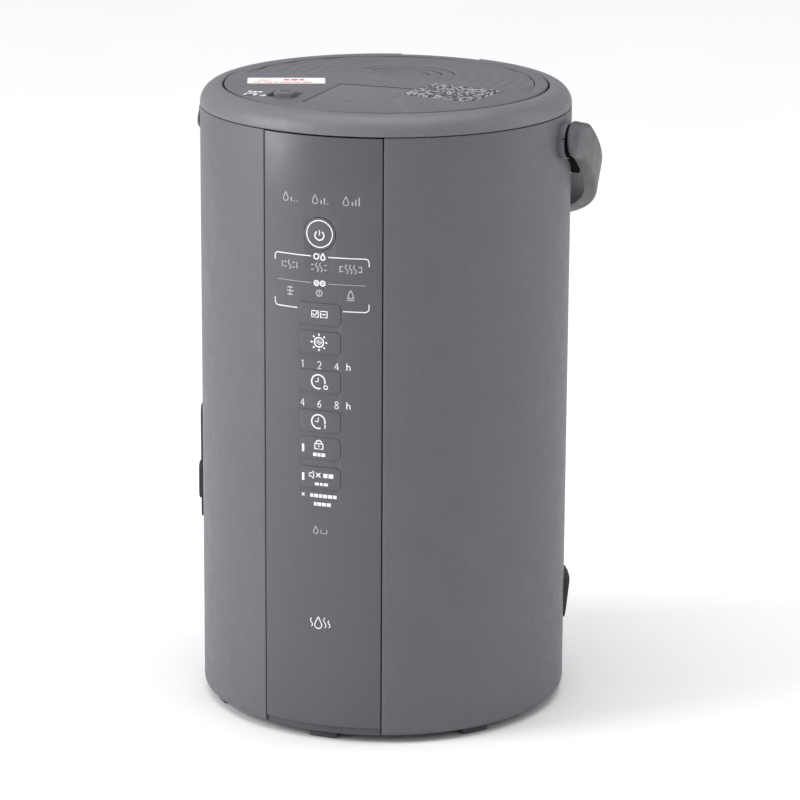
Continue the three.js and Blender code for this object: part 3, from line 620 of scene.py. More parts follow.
def build_steam_outlet():
    """Rounded concentric ridges with sharper valleys, cut to the half-moon plan."""
    low, valley, crest = HEIGHT - 3.6, HEIGHT - 0.8, HEIGHT - 0.1
    profile = [(0, low), (RIPPLE_END, low)]
    for r in range(RIPPLE_END, -1, -1):
        swell = abs(math.sin(math.pi * (r - RIPPLE_START) / RIPPLE_PITCH)) ** 0.75
        profile.append((r, valley + (crest - valley) * swell if r > RIPPLE_START else valley))
    ripples = revolve("steam_grille", profile, steps=160, centre=(0, RIPPLE_Y))
    boolean(ripples, [prism("plan", half_moon(0.6), low - 5, HEIGHT + 5)], "INTERSECT")
    valleys = [RIPPLE_START + RIPPLE_PITCH * i for i in (1, 2, 3)]
    boolean(ripples, [revolve("slot", rect(r - 0.6, r + 0.6, low - 5, 380), 118, 242, 48,
                              (0, RIPPLE_Y)) for r in valleys])
    finished(ripples, LID_PAINTED_SHEEN, "lid", ["steam_outlet"], 50)


def build_lever():
    top = HEIGHT - 0.1
    flap = block("release_flap", -22.5, 22.5, -78, -16, HEIGHT - 2.2, top)
    eased(flap, 0.5, 3)
    ears = [block("ear", x, x + 4, -24, -17, HEIGHT - 10, HEIGHT - 1) for x in (-19, 15)]
    boolean(flap, [block("lip", -16, 16, -78, -76, HEIGHT - 6, HEIGHT - 1)] + ears, "UNION")
    boolean(flap, [rod_x("bore", 1.55, -30, 30, LEVER_Y, LEVER_Z, 20)])
    finished(flap, LID_PAINTED_SHEEN, "lever", ["lever_flap"])

    bar = block("latch_bar", -15, 15, -95.4, -58, 361, 363.5)
    boolean(bar, [block("nose", -8, 8, -95.4, -92.4, 361, 364.7)], "UNION")
    boolean(bar, [block("window", -4.5, 4.5, -83.4, -68.4, 359, 366)])
    eased(bar, 0.35)
    finished(bar, WHITE, "latch", ["latch"])

    knob = block("slider_knob", -44.5, -32.5, -68.6, -59.4, HEIGHT - 3.4, HEIGHT + 3)
    eased(knob, 1.1, 4)
    ribs = [block("rib", x - 0.35, x + 0.35, -67, -61, HEIGHT + 2.55, HEIGHT + 5)
            for x in (-41, -38.5, -36)]
    boolean(knob, ribs)
    foot = block("foot", -51.5, -26, -71.1, -48.4, HEIGHT - 5.4, HEIGHT - 3.2)
    boolean(knob, [foot], "UNION")
    finished(knob, LID_PAINTED_SHEEN, "lock", ["lock_slider"])


# ---------------------------------------- air intake and power inlet
def sloped(obj, az, z0, z1, keep):
    """Slopes what stands proud of the body, from keep of its depth at z0 to all of it at z1."""
    a = math.radians(az)
    out = Vector((math.sin(a), -math.cos(a), 0))
    for v in obj.data.vertices:
        p = (v.co - Vector(place((0, 0, 0)))) / MM
        proud = p.dot(out) - BODY_R
        if proud > 0:
            share = keep + (1 - keep) * min(1, max(0, (p.z - z0) / (z1 - z0)))
            v.co += out * (proud * (share - 1) * MM)


def build_fittings():
    wall = rect(BODY_R - 2.4, BODY_R + 1.4, FAN_Z - 42, FAN_Z + 42)
    rim = revolve("intake_grille", wall, FAN_AZ - 14, FAN_AZ + 14, 40)
    edge = rounded(INTAKE_W - 0.8, INTAKE_H - 0.8, 4.7)
    boolean(rim, [plug("edge", edge, FAN_Z, 100, 116, FAN_AZ)], "INTERSECT")
    boolean(rim, [plug("slot", rounded(28, 3.6, 1.5), FAN_Z + 9 * i, 95, 120, FAN_AZ)
                  for i in range(-3, 4)])
    eased(rim, 0.4, 2, 50)
    tab = plug("tab", rounded(24, 24, 4), FAN_Z - 14, BODY_R - 1, BODY_R + 3.2, FAN_AZ)
    eased(tab, 0.8, 3)
    boolean(rim, [tab], "UNION")
    boolean(rim, [plug("finger", rounded(18, 16, 3), FAN_Z - 14, 95, 120, FAN_AZ)])
    finished(rim, DARK, "body", ["intake_cover"])

    face = BODY_R + 3.6
    outline = rounded(INLET_W - 0.6, INLET_H - 0.6, 4.7)
    housing = plug("inlet_socket", outline, INLET_Z, 96, face - 1.2, INLET_AZ)
    eased(housing, 0.8, 3)
    front = plug("face", rounded(22, 24, 4), INLET_Z, face - 3, face, INLET_AZ)
    eased(front, 0.6, 3)
    boolean(housing, [front], "UNION")
    boolean(housing, [plug("recess", rounded(14, 18, 2.5), INLET_Z, 101, face + 5, INLET_AZ)])
    eased(housing, 0.25, 2, 60)
    sloped(housing, INLET_AZ, INLET_Z - INLET_H / 2 + 0.3, INLET_Z + INLET_H / 2 - 0.3, 0.2)
    finished(housing, DARK, "body", ["power_inlet"])
    for name, dz in (("inlet_contact_upper", 5), ("inlet_contact_lower", -5)):
        blade = plug(name + "_blade", rounded(2.4, 4, 0.8), INLET_Z + dz, 101.3, face - 4, INLET_AZ)
        eased(blade, 0.3, 2)
        finished(blade, BRASS, "body", [name])


# ---------------------------------------- pot
def build_pot():
    t = 1.2  # wall thickness
    profile = [(0, 112 - t), *arc(72, 120, 8 + t, -90, 0, 10), (80 + t, 200), (80 + t, 300),
               (80 + t, 346.3), (87.4, 346.3), *arc(87.4, 346.9, 0.6, -90, 90, 4),
               *arc(81.5, 346, 1.5, 90, 180, 4), (80, 300), (80, 200), *arc(72, 120, 8, 0, -90, 10),
               (30, 112), (28, 112.5), (0, 112.5)]
    pot = revolve("water_pot", profile, steps=180)
    finished(pot, POT, "body", ["inner_pot"])


# ---------------------------------------- bail handle
SPAN_OUT, REACH_OUT = 119.6, 162.0
SPAN_IN, REACH_IN = 112.2, 152.0
FULL = 2.5  # exponent of the arch's superellipse
NOSE_R = 10.5
BAND = 7.4  # thickness
ARM_TOP, ARM_LOW = 18.4, -4.4
TILT = Matrix.Rotation(REST_TILT, 3, "X")


def hung(x, y, z):
    """A point of the bail's own plane at its rest angle."""
    p = TILT @ Vector((x, y, z))
    return (p.x, p.y, p.z + PIVOT_Z)


def arch_point(span, reach, t):
    """A point (across, along) of the arch at the angle t from the pivots' line."""
    c, s = math.cos(t), math.sin(t)
    x = math.copysign(abs(c) ** (2 / FULL), c) * span
    return x, abs(s) ** (2 / FULL) * reach


def arch_x(span, reach, y):
    """How far from the middle the arch is, at a distance y past the pivots."""
    if y <= 0:
        return span
    return span * (1 - (y / reach) ** FULL) ** (1 / FULL)


def arm_edges(y):
    """Upper and lower edge of an arm, seen from the side, at a distance y past the pivot."""
    round_end = math.sqrt(max(0, NOSE_R ** 2 - y * y))
    upper = 1.5 + round_end if y < -3 else min(ARM_TOP, 11.56 + (y + 3) * 0.31)
    lower = 1.5 - round_end if y < 3 else min(ARM_LOW, -8.56 + (y - 3) * 0.3)
    return upper, lower


def smooth_step(v, a, b):
    w = min(1, max(0, (v - a) / (b - a)))
    return w * w * (3 - 2 * w)


def edge_samples():
    """The arm's two edges as matched points with inward normals, for the whole half arm."""
    ys = [-NOSE_R * math.cos(math.radians(a)) for a in range(0, 88, 4)]
    ys += [0.4 + i * 1.1 for i in range(60)]
    upper = [(y, arm_edges(y)[0]) for y in ys]
    lower = [(y, arm_edges(y)[1]) for y in ys]
    for edge in (upper, lower):  # eases the corners where the eye meets the arm
        for _ in range(5):
            for i in range(20, len(edge) - 1):
                z = (edge[i - 1][1] + 2 * edge[i][1] + edge[i + 1][1]) / 4
                edge[i] = (edge[i][0], z)
    rows = []
    for i, y in enumerate(ys):
        row = []
        for edge, side in ((upper, -1), (lower, 1)):
            if i == 0:
                row.append((edge[i], (1, 0)))
                continue
            a, b = edge[i - 1], edge[min(i + 1, len(edge) - 1)]
            d = math.hypot(b[0] - a[0], b[1] - a[1])
            ty, tz = (b[0] - a[0]) / d, (b[1] - a[1]) / d
            row.append((edge[i], (-tz * side, ty * side)))
        rows.append((y, row[0], row[1]))
    return rows


def section(upper, lower, outer_inset, outer_depth, inner_round, thick):
    """A closed loop of (y, z, depth) about an arm, with depth from its inner to its outer face."""
    (u, un), (v, vn) = upper, lower
    gap = math.hypot(u[0] - v[0], u[1] - v[1]) * 0.49
    loop = []

    def at(p, n, inset, depth):
        inset = min(inset, gap) if gap > 0 else 0
        return (p[0] + n[0] * inset, p[1] + n[1] * inset, depth)

    for p, n, order in ((v, vn, 1), (u, un, -1)):
        part = []
        for i in range(5):
            a = math.radians(90 * i / 4)
            part.append(at(p, n, inner_round * (1 - math.sin(a)), inner_round * (1 - math.cos(a))))
        for i in range(9):
            a = math.radians(90 * i / 8)
            part.append(at(p, n, outer_inset * (1 - math.cos(a)),
                           thick - outer_depth + outer_depth * math.sin(a)))
        loop += part[::order]
        if order == 1:
            end = part[-1]
            other = at(u, un, outer_inset, thick)
            for w in (0.25, 0.5, 0.75):
                loop.append(tuple(end[k] + (other[k] - end[k]) * w for k in range(3)))
    return loop


def build_handle():
    """The bail: a domed round eye at each pivot that runs into a broad, full arch."""
    rows = edge_samples()
    half = []
    for y, upper, lower in rows:
        broad = 1 - smooth_step(y, 0, 28)
        relief = 3.0 * (1 - smooth_step(y, 12, 14))
        dome = 3.6 * (1 - math.sqrt(1 - (max(0, 4 - y) / 14.6) ** 2))
        thick = BAND - relief - dome
        loop = []
        for ly, lz, depth in section(upper, lower, 2.2 + 3.5 * broad,
                                     min(2.0 + 0.8 * broad, 0.6 * thick), min(1.0, 0.3 * thick),
                                     thick):
            x_in = arch_x(SPAN_IN, REACH_IN, ly) + relief
            x_out = arch_x(SPAN_OUT, REACH_OUT, ly)
            loop.append((x_in + (x_out - x_in) * depth / (BAND - relief), ly, lz))
        half.append(loop)
    # The arch behind the arms, from the last row's place to the middle
    y_join = rows[-1][0]
    start = math.asin((y_join / REACH_OUT) ** (FULL / 2))
    count = 60
    for i in range(1, count + 1):
        t = start + (math.pi / 2 - start) * i / count
        (xo, yo), (xi, yi) = arch_point(SPAN_OUT, REACH_OUT, t), arch_point(SPAN_IN, REACH_IN, t)
        low = ARM_LOW + 4.7 * smooth_step(i, 2, 42)
        top = ARM_TOP + 3.0 * smooth_step(i, 1, 16)
        flat = section(((0, top), (0, -1)), ((0, low), (0, 1)), 2.2, 2.0, 1.0, BAND)
        loop = []
        for _, lz, depth in flat:
            w = depth / BAND
            loop.append((xi + (xo - xi) * w, yi + (yo - yi) * w, lz))
        half.append(loop)
    loops = half + [[(-x, y, z) for x, y, z in loop] for loop in reversed(half[:-1])]
    bail = loft("carry_handle", [[hung(*p) for p in loop] for loop in loops], capped=False)
    boolean(bail, [rod_x("socket", 5.1, x, x + 7.2, 0, PIVOT_Z) for x in (-117.2, 110)])
    finished(bail, HANDLE, "handle", ["handle"], 50)

    build_grip()
    for name, az in (("pivot_boss_left", -90), ("pivot_boss_right", 90)):
        boss = plug(name + "_cover", circle(10.5, 72), PIVOT_Z, 107.8, 113.7, az)
        eased(boss, 0.6, 3)
        washer = plug(name.replace("boss", "washer"), circle(9.9, 72), PIVOT_Z, 113.7, 114.9, az)
        boolean(washer, [plug("bore", circle(5, 36), PIVOT_Z, 113, 116, az)])
        finished(washer, STOP_BLACK_AND_SHADE, "body")
        boolean(boss, [plug("seam", rect(-20, 20, -0.35, 0.35), PIVOT_Z + 3, 112.2, 116, az)])
        boolean(boss, [plug("pin", circle(4.9, 36), PIVOT_Z, 110, 116.9, az)], "UNION")
        finished(boss, SHELL, "body", [name])

    for name, side in (("left", -1), ("right", 1)):
        build_stop(name, side)


def build_grip():
    """The ribbed grip pad on the inside of the arch."""
    rim = [(0, 1.9), (0, 14.0), (0.9, 15.2), (2.6, 14.8), (3.1, 14.0), (3.1, 2.5), (2.6, 1.7),
           (0.9, 1.3)]
    half, rows = 41.8, 121
    loops = []
    for i in range(rows):
        x = -half + 2 * half * i / (rows - 1)
        y = REACH_IN * (1 - (abs(x) / SPAN_IN) ** FULL) ** (1 / FULL)
        rib = 0.35 * (0.5 + 0.5 * math.cos(2 * math.pi * x / 4.2))
        loops.append([hung(x, y - 0.05 - d * (1 if d < 2 else 1 - rib / 3), z) for d, z in rim])
    pad = loft("grip_pad", loops)
    finished(pad, GRIP, "handle", ["handle_grip"])


def build_stop(name, side):
    """The dark rubber stop that an arm rests on, let into the body below the pivot. Its near-black
    also paints the shade in the gap between arm and body.
    """
    outline = [(5.2, -10.6), (24, -19), (36.5, -26.4), (39.5, -25.4), (40, -23), (40, -16),
               (24, -9), (13, -4), (11.2, -4.4), (9, -7.8)]
    stop = loft("arm_stop_" + name, [[(side * x, y, PIVOT_Z + z) for y, z in outline]
                                     for x in (95, 115)])
    plan = [(95, 3), (111.4, 3), (111.4, 18), (110.8, 24), (109.9, 32), (108.4, 41), (95, 41)]
    boolean(stop, [prism("plan", [(side * x, y) for x, y in plan], 300, 360)], "INTERSECT")
    boolean(stop, [revolve("core", rect(0, BODY_R + 0.05, 290, 370))])
    eased(stop, 0.3, 2)
    finished(stop, STOP_BLACK_AND_SHADE, "body", ["handle_stop_" + name])


# ---------------------------------------- print
def turned(u, v, centre, turn):
    """A point turned about the origin and then moved to a centre."""
    c, s = math.cos(math.radians(turn)), math.sin(math.radians(turn))
    return (centre[0] + u * c - v * s, centre[1] + u * s + v * c)


class Print:
    """Thin ink strokes in (u, v) millimetres, laid on a curved wall or on the lid's top."""

    def __init__(self):
        self.quads = []

    def line(self, points, width, closed=False):
        pts = list(points) + ([points[0], points[1]] if closed else [])
        dense = [pts[0]]
        for a, b in zip(pts, pts[1:]):
            n = max(1, int(math.hypot(b[0] - a[0], b[1] - a[1]) / 1.2))
            dense += [(a[0] + (b[0] - a[0]) * i / n, a[1] + (b[1] - a[1]) * i / n)
                      for i in range(1, n + 1)]
        sides = []
        for i, p in enumerate(dense):
            a, b = dense[max(0, i - 1)], dense[min(len(dense) - 1, i + 1)]
            d = math.hypot(b[0] - a[0], b[1] - a[1]) or 1
            nx, ny = -(b[1] - a[1]) / d * width / 2, (b[0] - a[0]) / d * width / 2
            sides.append(((p[0] + nx, p[1] + ny), (p[0] - nx, p[1] - ny)))
        for s, e in zip(sides, sides[1:]):
            self.quads.append((s[0], s[1], e[1], e[0]))

    def ring(self, u, v, r, width, start=0, end=360, steps=28):
        self.line(arc(u, v, r, start, end, steps), width)

    def bar(self, u, v, w, h):
        self.line([(u - w / 2, v), (u + w / 2, v)], h)

    def lay(self, name, where, mat, body):
        """Lays each point of the strokes at where(u, v)."""
        points = [where(u, v) for quad in self.quads for u, v in quad]
        faces = [tuple(range(i * 4, i * 4 + 4)) for i in range(len(self.quads))]
        finished(raw_object(name, points, faces), mat, body)

    def on_wall(self, name, r, mat, body="body", slot="panel"):
        self.lay(name, lambda u, v: around(r, math.degrees(u / BODY_R), v), mat, body)

    def on_key(self, name, key, face=KEY_FACE + INK_LIFT):
        self.on_wall(name, face, INK, key, "key")

    def on_top(self, name, z, mat, centre, turn=0, body="lid", slot="lid"):
        self.lay(name, lambda u, v: turned(u, v, centre, turn) + (z,), mat, body)


DIGITS = {
    "1": [[(-0.25, 0.7), (0.15, 1.0), (0.15, -1.0)]],
    "2": [[(-0.5, 0.6), (-0.3, 0.95), (0.15, 1.0), (0.5, 0.65), (0.4, 0.1), (-0.5, -1.0),
           (0.55, -1.0)]],
    "4": [[(0.3, -1.0), (0.3, 1.0), (-0.6, -0.4), (0.6, -0.4)]],
    "6": [[(0.35, 1.0), (-0.2, 0.4), (-0.5, -0.3), (-0.3, -0.9), (0.15, -1.0), (0.5, -0.6),
           (0.4, -0.05), (0.0, 0.1), (-0.45, -0.2)]],
    "8": [[(0, 0.05), (-0.4, 0.4), (-0.35, 0.85), (0, 1.0), (0.35, 0.85), (0.4, 0.4), (0, 0.05),
           (-0.5, -0.4), (-0.45, -0.85), (0, -1.0), (0.45, -0.85), (0.5, -0.4), (0, 0.05)]],
    "h": [[(-0.45, 1.0), (-0.45, -1.0)], [(-0.45, -0.1), (-0.1, 0.3), (0.3, 0.2), (0.45, -0.2),
                                         (0.45, -1.0)]],
}


def digit(ink_set, char, u, v, size, width):
    """A digit or letter of height 2 * size."""
    for stroke in DIGITS[char]:
        ink_set.line([(u + x * size, v + y * size) for x, y in stroke], width)


def drop(ink_set, u, v, s, width):
    """A water drop of height 2s."""
    tip = [(u, v + s)]
    ink_set.line(tip + arc(u, v - 0.38 * s, 0.62 * s, 35, -215, 12) + tip, width)


def wave(ink_set, u, v, length, swing, width):
    """A rising wisp of steam."""
    pts = [(u + swing * math.sin(2 * math.pi * i / 12), v - length / 2 + length * i / 12)
           for i in range(13)]
    ink_set.line(pts, width)


def level(ink_set, u, v, count, s, width):
    """A drop with one to three level bars beside it."""
    drop(ink_set, u - 1.3 * s, v, s, width)
    for i in range(3):
        at = u + (0.15 + 0.75 * i) * s
        if i < count:
            ink_set.line([(at, v - s), (at, v - s + (0.9 + 0.5 * i) * s)], width * 1.5)
        else:
            ink_set.bar(at, v - 0.9 * s, 0.35 * s, width)


def mirrored(ink_set, points, width):
    """A line and its mirror image about u = 0."""
    for side in (-1, 1):
        ink_set.line([(side * u, v) for u, v in points], width)


def frame_line(ink_set, u0, u1, v0, v1, width):
    ink_set.line(rect(u0, u1, v0, v1), width, True)


def cross(ink_set, u0, u1, v0, v1, width):
    ink_set.line([(u0, v0), (u1, v1)], width)
    ink_set.line([(u1, v0), (u0, v1)], width)


def cells(ink_set, u, v, lengths, height, gap=0.6):
    """A row of short bars, centred on u."""
    u -= (sum(lengths) + gap * (len(lengths) - 1)) / 2
    for n in lengths:
        ink_set.bar(u + n / 2, v, n, height)
        u += n + gap


def build_panel_print():
    white, grey = Print(), Print()
    for i, u in enumerate((-18.2, 0.6, 19.0)):
        level(grey, u, 326, i + 1, 2.6, 0.5)
    # Mode brackets with their middle marks
    mirrored(white, [(29.1, 288.2), (29.1, 291.0), (28.5, 292.1), (27.3, 292.7), (5.3, 292.7)], 0.6)
    mirrored(grey, [(27.2, 277.1), (5.1, 277.1)], 0.3)
    mirrored(white, [(29.1, 266.2), (29.1, 263.2), (28.5, 262.1), (27.3, 261.5), (14, 261.5)], 0.6)
    white.ring(-2.0, 292.7, 1.5, 0.75, 60, 380)
    white.line([(-1.1, 294.0), (-0.6, 293.3), (-0.3, 294.4)], 0.6)
    drop(white, 2.0, 292.8, 2.0, 0.8)
    for u in (-1.9, 1.9):
        white.ring(u, 277.1, 1.4, 0.8)
        white.bar(u, 277.1, 1.2, 0.8)
    for i, u in enumerate((-19.2, -0.4, 18.5)):
        for k in range(i + 1):
            wave(grey, u + 2.4 * (k - i / 2), 286.4, 5.2, 0.8, 0.6)
        for side in (-1, 1):
            for v in (285.0, 287.8):
                grey.bar(u + side * (2.8 + 1.2 * i), v, 1.6, 0.6)
            if i != 1:
                end = u + side * (4.9 + 0.7 * i)
                grey.line([(end, 284.4), (end, 288.2)], 0.55)
    for d in (-2.1, 0, 2.1):
        grey.bar(-18.8, 270.9 + d, 4.4 - abs(d) * 0.4, 0.65)
    grey.line([(-18.8, 268.2), (-18.8, 273.7)], 0.6)
    grey.ring(-0.2, 271.3, 1.7, 0.7)
    grey.line([(-0.2, 269.0), (-0.2, 273.4)], 0.5)
    drop(grey, 18.5, 271.7, 2.5, 0.65)
    for v in (268.2, 269.4):
        grey.bar(18.5, v, 4.6, 0.55)
    for chars, v in (("124", 228.8), ("468", 205.8)):
        for char, u in zip(chars, (-10.8, -0.2, 10.3)):
            digit(white, char, u, v, 2.1, 0.45)
        digit(white, "h", 17.3, v, 2.1, 0.62)
    # Hint lines under the keys
    cells(white, 2.2, 150.4, (2.1, 2.5, 1.7, 2.8, 2.4, 2.3), 2.1, 0.5)
    cells(white, 1.6, 145.4, (1.7, 2.5, 2.2, 2.6), 2.1, 0.5)
    cross(white, -11.2, -9.6, 151.3, 149.5, 0.6)
    # Refill lamp: a drop over a tray
    drop(grey, -2.4, 129.6, 2.3, 0.5)
    grey.line([(0.8, 130.2), (0.8, 127.8), (4.4, 127.8), (4.4, 130.2)], 0.5)
    # Plain mark low on the panel: a drop between wisps of steam
    drop(white, -0.9, 72.9, 3.6, 0.6)
    wave(white, 3.2, 73.2, 6.2, 0.7, 0.55)
    wave(white, 5.8, 72.6, 4.6, 0.6, 0.55)
    wave(white, -5.2, 72.8, 5.4, 0.6, 0.55)
    white.on_wall("panel_print_white", PANEL_R + INK_LIFT, INK)
    grey.on_wall("panel_print_grey", PANEL_R + INK_LIFT, INK_DIM)


def build_key_symbols():
    power = Print()
    power.ring(0, POWER_Z, 7.8, 0.62, steps=72)
    power.ring(0, POWER_Z - 0.9, 2.7, 0.75, -235, 55)
    power.line([(0, POWER_Z - 0.8), (0, POWER_Z + 2.2)], 0.6)
    power.on_key("power_symbol", "key_power", BODY_R + 0.09)

    pick = Print()
    z = KEYS["key_select"]
    for u in (-2.7, 2.7):
        frame_line(pick, u - 2.0, u + 2.0, z - 1.8, z + 1.8, 0.6)
    pick.line([(-4.1, z + 0.1), (-3.0, z - 1.0), (-1.3, z + 1.1)], 0.6)
    pick.line([(1.5, z), (3.9, z)], 0.7)
    pick.on_key("select_symbol", "key_select")

    lamp = Print()
    z = KEYS["key_light"]
    lamp.ring(-0.3, z, 2.8, 0.8)
    for inner, outer in zip(circle(3.9, 8), circle(5.1, 8)):
        lamp.line([(-0.3 + inner[0], z + inner[1]), (-0.3 + outer[0], z + outer[1])], 0.95)
    for d in (-1, 0, 1):
        lamp.line([(d - 1.3, z - 1.0 - 0.6 * d), (d + 0.7, z + 1.0 - 0.6 * d)], 0.5)
    lamp.on_key("brightness_symbol", "key_light")

    for name in ("key_off_timer", "key_on_timer"):
        z = KEYS[name] - 0.2
        clock = Print()
        clock.ring(-0.7, z, 4.1, 0.85, -15, 290, 40)
        clock.line([(-0.7, z + 2.4), (-0.7, z), (-2.6, z)], 0.6)
        if name == "key_off_timer":
            clock.ring(3.8, z - 3.1, 1.1, 0.6)
        else:
            clock.line([(3.4, z - 3.9), (3.4, z - 1.5)], 0.7)
        clock.on_key(name + "_symbol", name)

    lock = Print()
    z = KEYS["key_lock"]
    lock.bar(-10.3, z - 0.6, 1.5, 4.6)
    lock.ring(-0.4, z + 2.9, 1.8, 0.7, 0, 180, 16)
    frame_line(lock, -2.9, 2.1, z - 0.4, z + 2.7, 0.7)
    lock.line([(-0.4, z + 0.6), (-0.4, z + 1.8)], 0.7)
    cells(lock, -0.2, z - 3.9, (2.2, 1.9, 2.4), 2.1, 0.5)
    lock.on_key("lock_symbol", "key_lock")

    quiet = Print()
    z = KEYS["key_quiet"]
    quiet.bar(-10.3, z - 0.2, 1.5, 4.6)
    quiet.line([(-6.4, z + 0.5), (-5.2, z + 0.5), (-3.6, z - 0.8), (-3.6, z + 3.6), (-5.2, z + 2.3),
                (-6.4, z + 2.3)], 0.6, True)
    cross(quiet, -2.0, 0.6, z + 0.2, z + 2.8, 0.7)
    cells(quiet, 5.4, z + 1.4, (2.6, 2.9), 2.6, 0.6)
    cells(quiet, 1.2, z - 3.9, (2.4, 1.8, 2.6), 1.7, 0.6)
    quiet.on_key("quiet_symbol", "key_quiet")


FILM_AT, FILM_TURN = (-55.9, -18.8), 21
NOTE_AT, NOTE_TURN = (48.0, -20.0), -11


def build_lid_marks():
    z = HEIGHT + INK_LIFT
    # Blank film label with printed bands
    outline = [turned(x, y, FILM_AT, FILM_TURN) for x, y in rounded(46, 18.5, 1.6)]
    film = prism("film_label", outline, HEIGHT + 0.02, HEIGHT + 0.14)
    finished(film, STICKER, "lid")
    red = Print()
    cells(red, -2, -5.2, (4.0, 5.6, 3.2, 6.4, 4.8, 5.2), 1.9, 0.9)
    cells(red, 4.5, 2.6, (3.0, 4.2, 2.6), 4.2, 1.0)
    red.bar(-13.0, 1.2, 7.0, 1.4)
    red.on_top("film_label_bands", HEIGHT + 0.17, INK_RED, FILM_AT, FILM_TURN, slot="white")
    # A close grid of light and dark dashes in place of the care note
    rng = random.Random(4)
    light, dark = Print(), Print()
    for row in range(18):
        v = -18.5 + 2.25 * row
        u = -22.8
        while u < 22.4:
            n = rng.choice((0.9, 1.2, 1.5, 2.0))
            pick = rng.random()
            if pick < 0.46:
                light.bar(u + n / 2, v, n, 1.7)
            elif pick < 0.85:
                dark.bar(u + n / 2, v, n, 1.8)
            u += n + rng.choice((0.2, 0.4, 0.6))
    light.on_top("care_note_light", z, INK_DIM, NOTE_AT, NOTE_TURN)
    dark.on_top("care_note_dark", z, INK_DARK, NOTE_AT, NOTE_TURN)
    # Lock mark beside the slider
    mark = Print()
    frame_line(mark, -3.4, 2.6, -6.6, -1.2, 1.3)
    mark.ring(-0.4, -0.8, 2.2, 1.2, 0, 180, 14)
    cells(mark, -1.0, 5.2, (2.6, 2.0, 2.8), 3.0, 0.8)
    mark.line([(5.2, -4.2), (9.4, -4.2)], 1.3)
    mark.line([(7.2, -1.6), (9.6, -4.2), (7.2, -6.8)], 1.2)
    mark.on_top("slider_mark", z, INK, (-59.0, -63.0))
    # Faint press mark on the flap
    press = Print()
    for v in (0, -3.2):
        press.line([(-4, v), (0, v + 3), (4, v)], 0.8)
    for u in (-12, -9, 9, 12):
        press.bar(u, -0.6, 1.6, 1.6)
    press.on_top("flap_mark", HEIGHT - 0.07, EMBOSS, (0, -66), body="lever")


def build_pot_marks():
    """Level lines printed round part of the pot's inner wall."""
    marks = Print()
    for k, z in enumerate((150, 190, 230, 270, 310, 330)):
        marks.line([(-14 - 4 * (k % 2), z), (14 + 4 * (k % 2), z)], 0.9)
    for z in range(155, 330, 5):
        marks.line([(-4, z), (4, z)], 0.4)
    marks.lay("pot_level_lines", lambda u, v: around(79.9, 180 + math.degrees(u / 80), v),
              INK_DIM, "body")


build_casing()
build_shoulder()
build_lid()
build_steam_outlet()
build_lever()
build_fittings()
build_pot()
build_handle()
build_panel_print()
build_key_symbols()
build_lid_marks()
build_pot_marks()


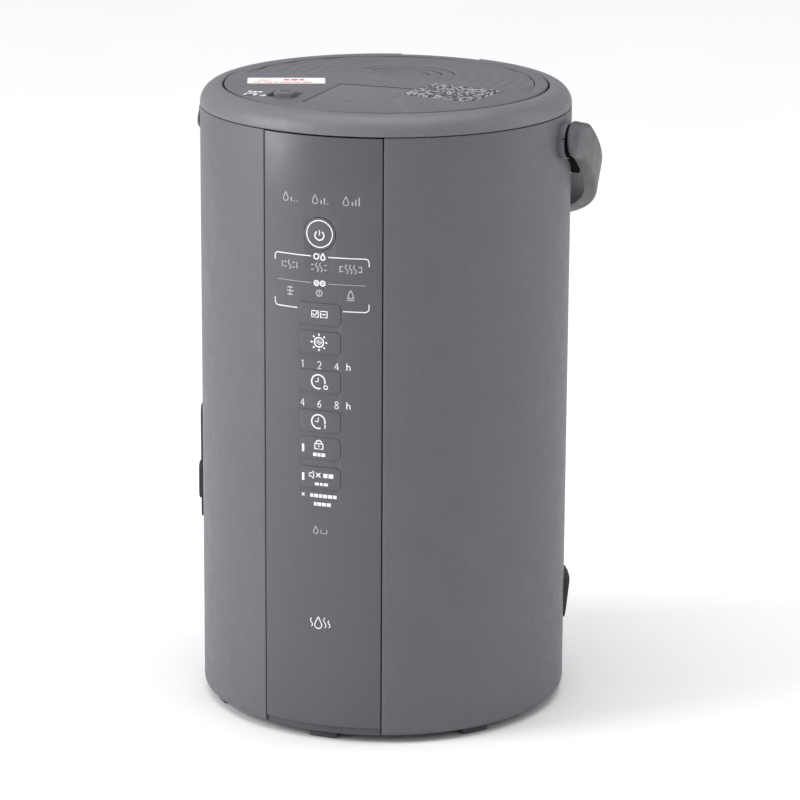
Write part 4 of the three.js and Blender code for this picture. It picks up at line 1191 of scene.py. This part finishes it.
# ---------------------------------------- floor, light and camera
def build_stage():
    """A pale matt floor, and a white backdrop that lights the object more softly than it shows."""
    mesh = bpy.data.meshes.new("floor")
    corners = rect(-FLOOR_HALF, FLOOR_HALF, -FLOOR_HALF, FLOOR_HALF)
    mesh.from_pydata([(x, y, 0) for x, y in corners], [], [(0, 1, 2, 3)])
    n = Nodes("studio_floor")
    n.paint(n.ramp(n.noise(2.5, 2), [(0.3, (0.86, 0.86, 0.86, 1)), (0.7, (0.88, 0.88, 0.88, 1))]))
    n.bsdf.inputs["Roughness"].default_value = 0.9
    n.bsdf.inputs["Specular IOR Level"].default_value = 0.1
    mesh.materials.append(n.mat)
    in_scene("floor", mesh)

    world = bpy.data.worlds.new("studio")
    world.use_nodes = True
    tree = world.node_tree
    ambient = tree.nodes["Background"]
    ambient.inputs["Color"].default_value = (0.97, 0.98, 1, 1)
    ambient.inputs["Strength"].default_value = AMBIENT
    backdrop = tree.nodes.new("ShaderNodeBackground")
    backdrop.inputs["Color"].default_value = (1, 1, 1, 1)
    rays = tree.nodes.new("ShaderNodeLightPath")
    choice = tree.nodes.new("ShaderNodeMixShader")
    tree.links.new(rays.outputs["Is Camera Ray"], choice.inputs["Fac"])
    tree.links.new(ambient.outputs["Background"], choice.inputs[1])
    tree.links.new(backdrop.outputs["Background"], choice.inputs[2])
    tree.links.new(choice.outputs["Shader"], tree.nodes["World Output"].inputs["Surface"])
    bpy.context.scene.world = world
    bpy.context.scene.view_settings.view_transform = "Standard"


def softbox(name, az, height, distance, width, tall, power):
    """An area light at an azimuth, aimed at the middle of the object."""
    data = bpy.data.lights.new(name, "AREA")
    data.shape = "RECTANGLE"
    data.size, data.size_y = width, tall
    data.energy = power
    lamp = in_scene(name, data)
    a = math.radians(az)
    lamp.location = (distance * math.sin(a), AXIS_Y - distance * math.cos(a), height)
    aim = Vector((0, AXIS_Y, AIM_Z)) - lamp.location
    lamp.rotation_euler = aim.to_track_quat("-Z", "Y").to_euler()


FLOOR_HALF = 12  # metres
AMBIENT = 0.5
AIM_Z = 0.2
SUN_POWER, SUN_SPREAD = 1.75, 60
# Azimuth, height, distance, width and height of the box in metres, and power
LIGHTS = {
    "left_softbox": (-52, 1.0, 2.0, 0.9, 1.5, 35),
    "front_softbox": (10, 1.3, 2.4, 1.0, 1.0, 1.7),
    "right_softbox": (72, 0.9, 2.0, 0.8, 1.5, 3.2),
    "back_softbox": (115, 0.9, 2.0, 0.8, 1.5, 8),
}
build_stage()
for name, values in LIGHTS.items():
    softbox(name, *values)
overhead = bpy.data.lights.new("overhead", "SUN")
overhead.energy = SUN_POWER
overhead.angle = math.radians(SUN_SPREAD)
in_scene("overhead", overhead).location = (0, 0, 3)

CAMERA_AT = (734.6, -2024.2, 767.6)
CAMERA_AZ, CAMERA_EL, CAMERA_ROLL = 19.70, 15.26, 0.32
LENS, SENSOR = 166.1, 36
camera = bpy.data.cameras.new("camera")
camera.lens = LENS
camera.sensor_width = SENSOR
eye = in_scene("camera", camera)
eye.location = place(CAMERA_AT)
a, e = math.radians(CAMERA_AZ), math.radians(CAMERA_EL)
back = Vector((math.sin(a) * math.cos(e), -math.cos(a) * math.cos(e), math.sin(e)))
level_view = (-back).to_track_quat("-Z", "Y").to_matrix()
eye.rotation_euler = (level_view @ Matrix.Rotation(math.radians(CAMERA_ROLL), 3, "Z")).to_euler()
bpy.context.scene.camera = eye
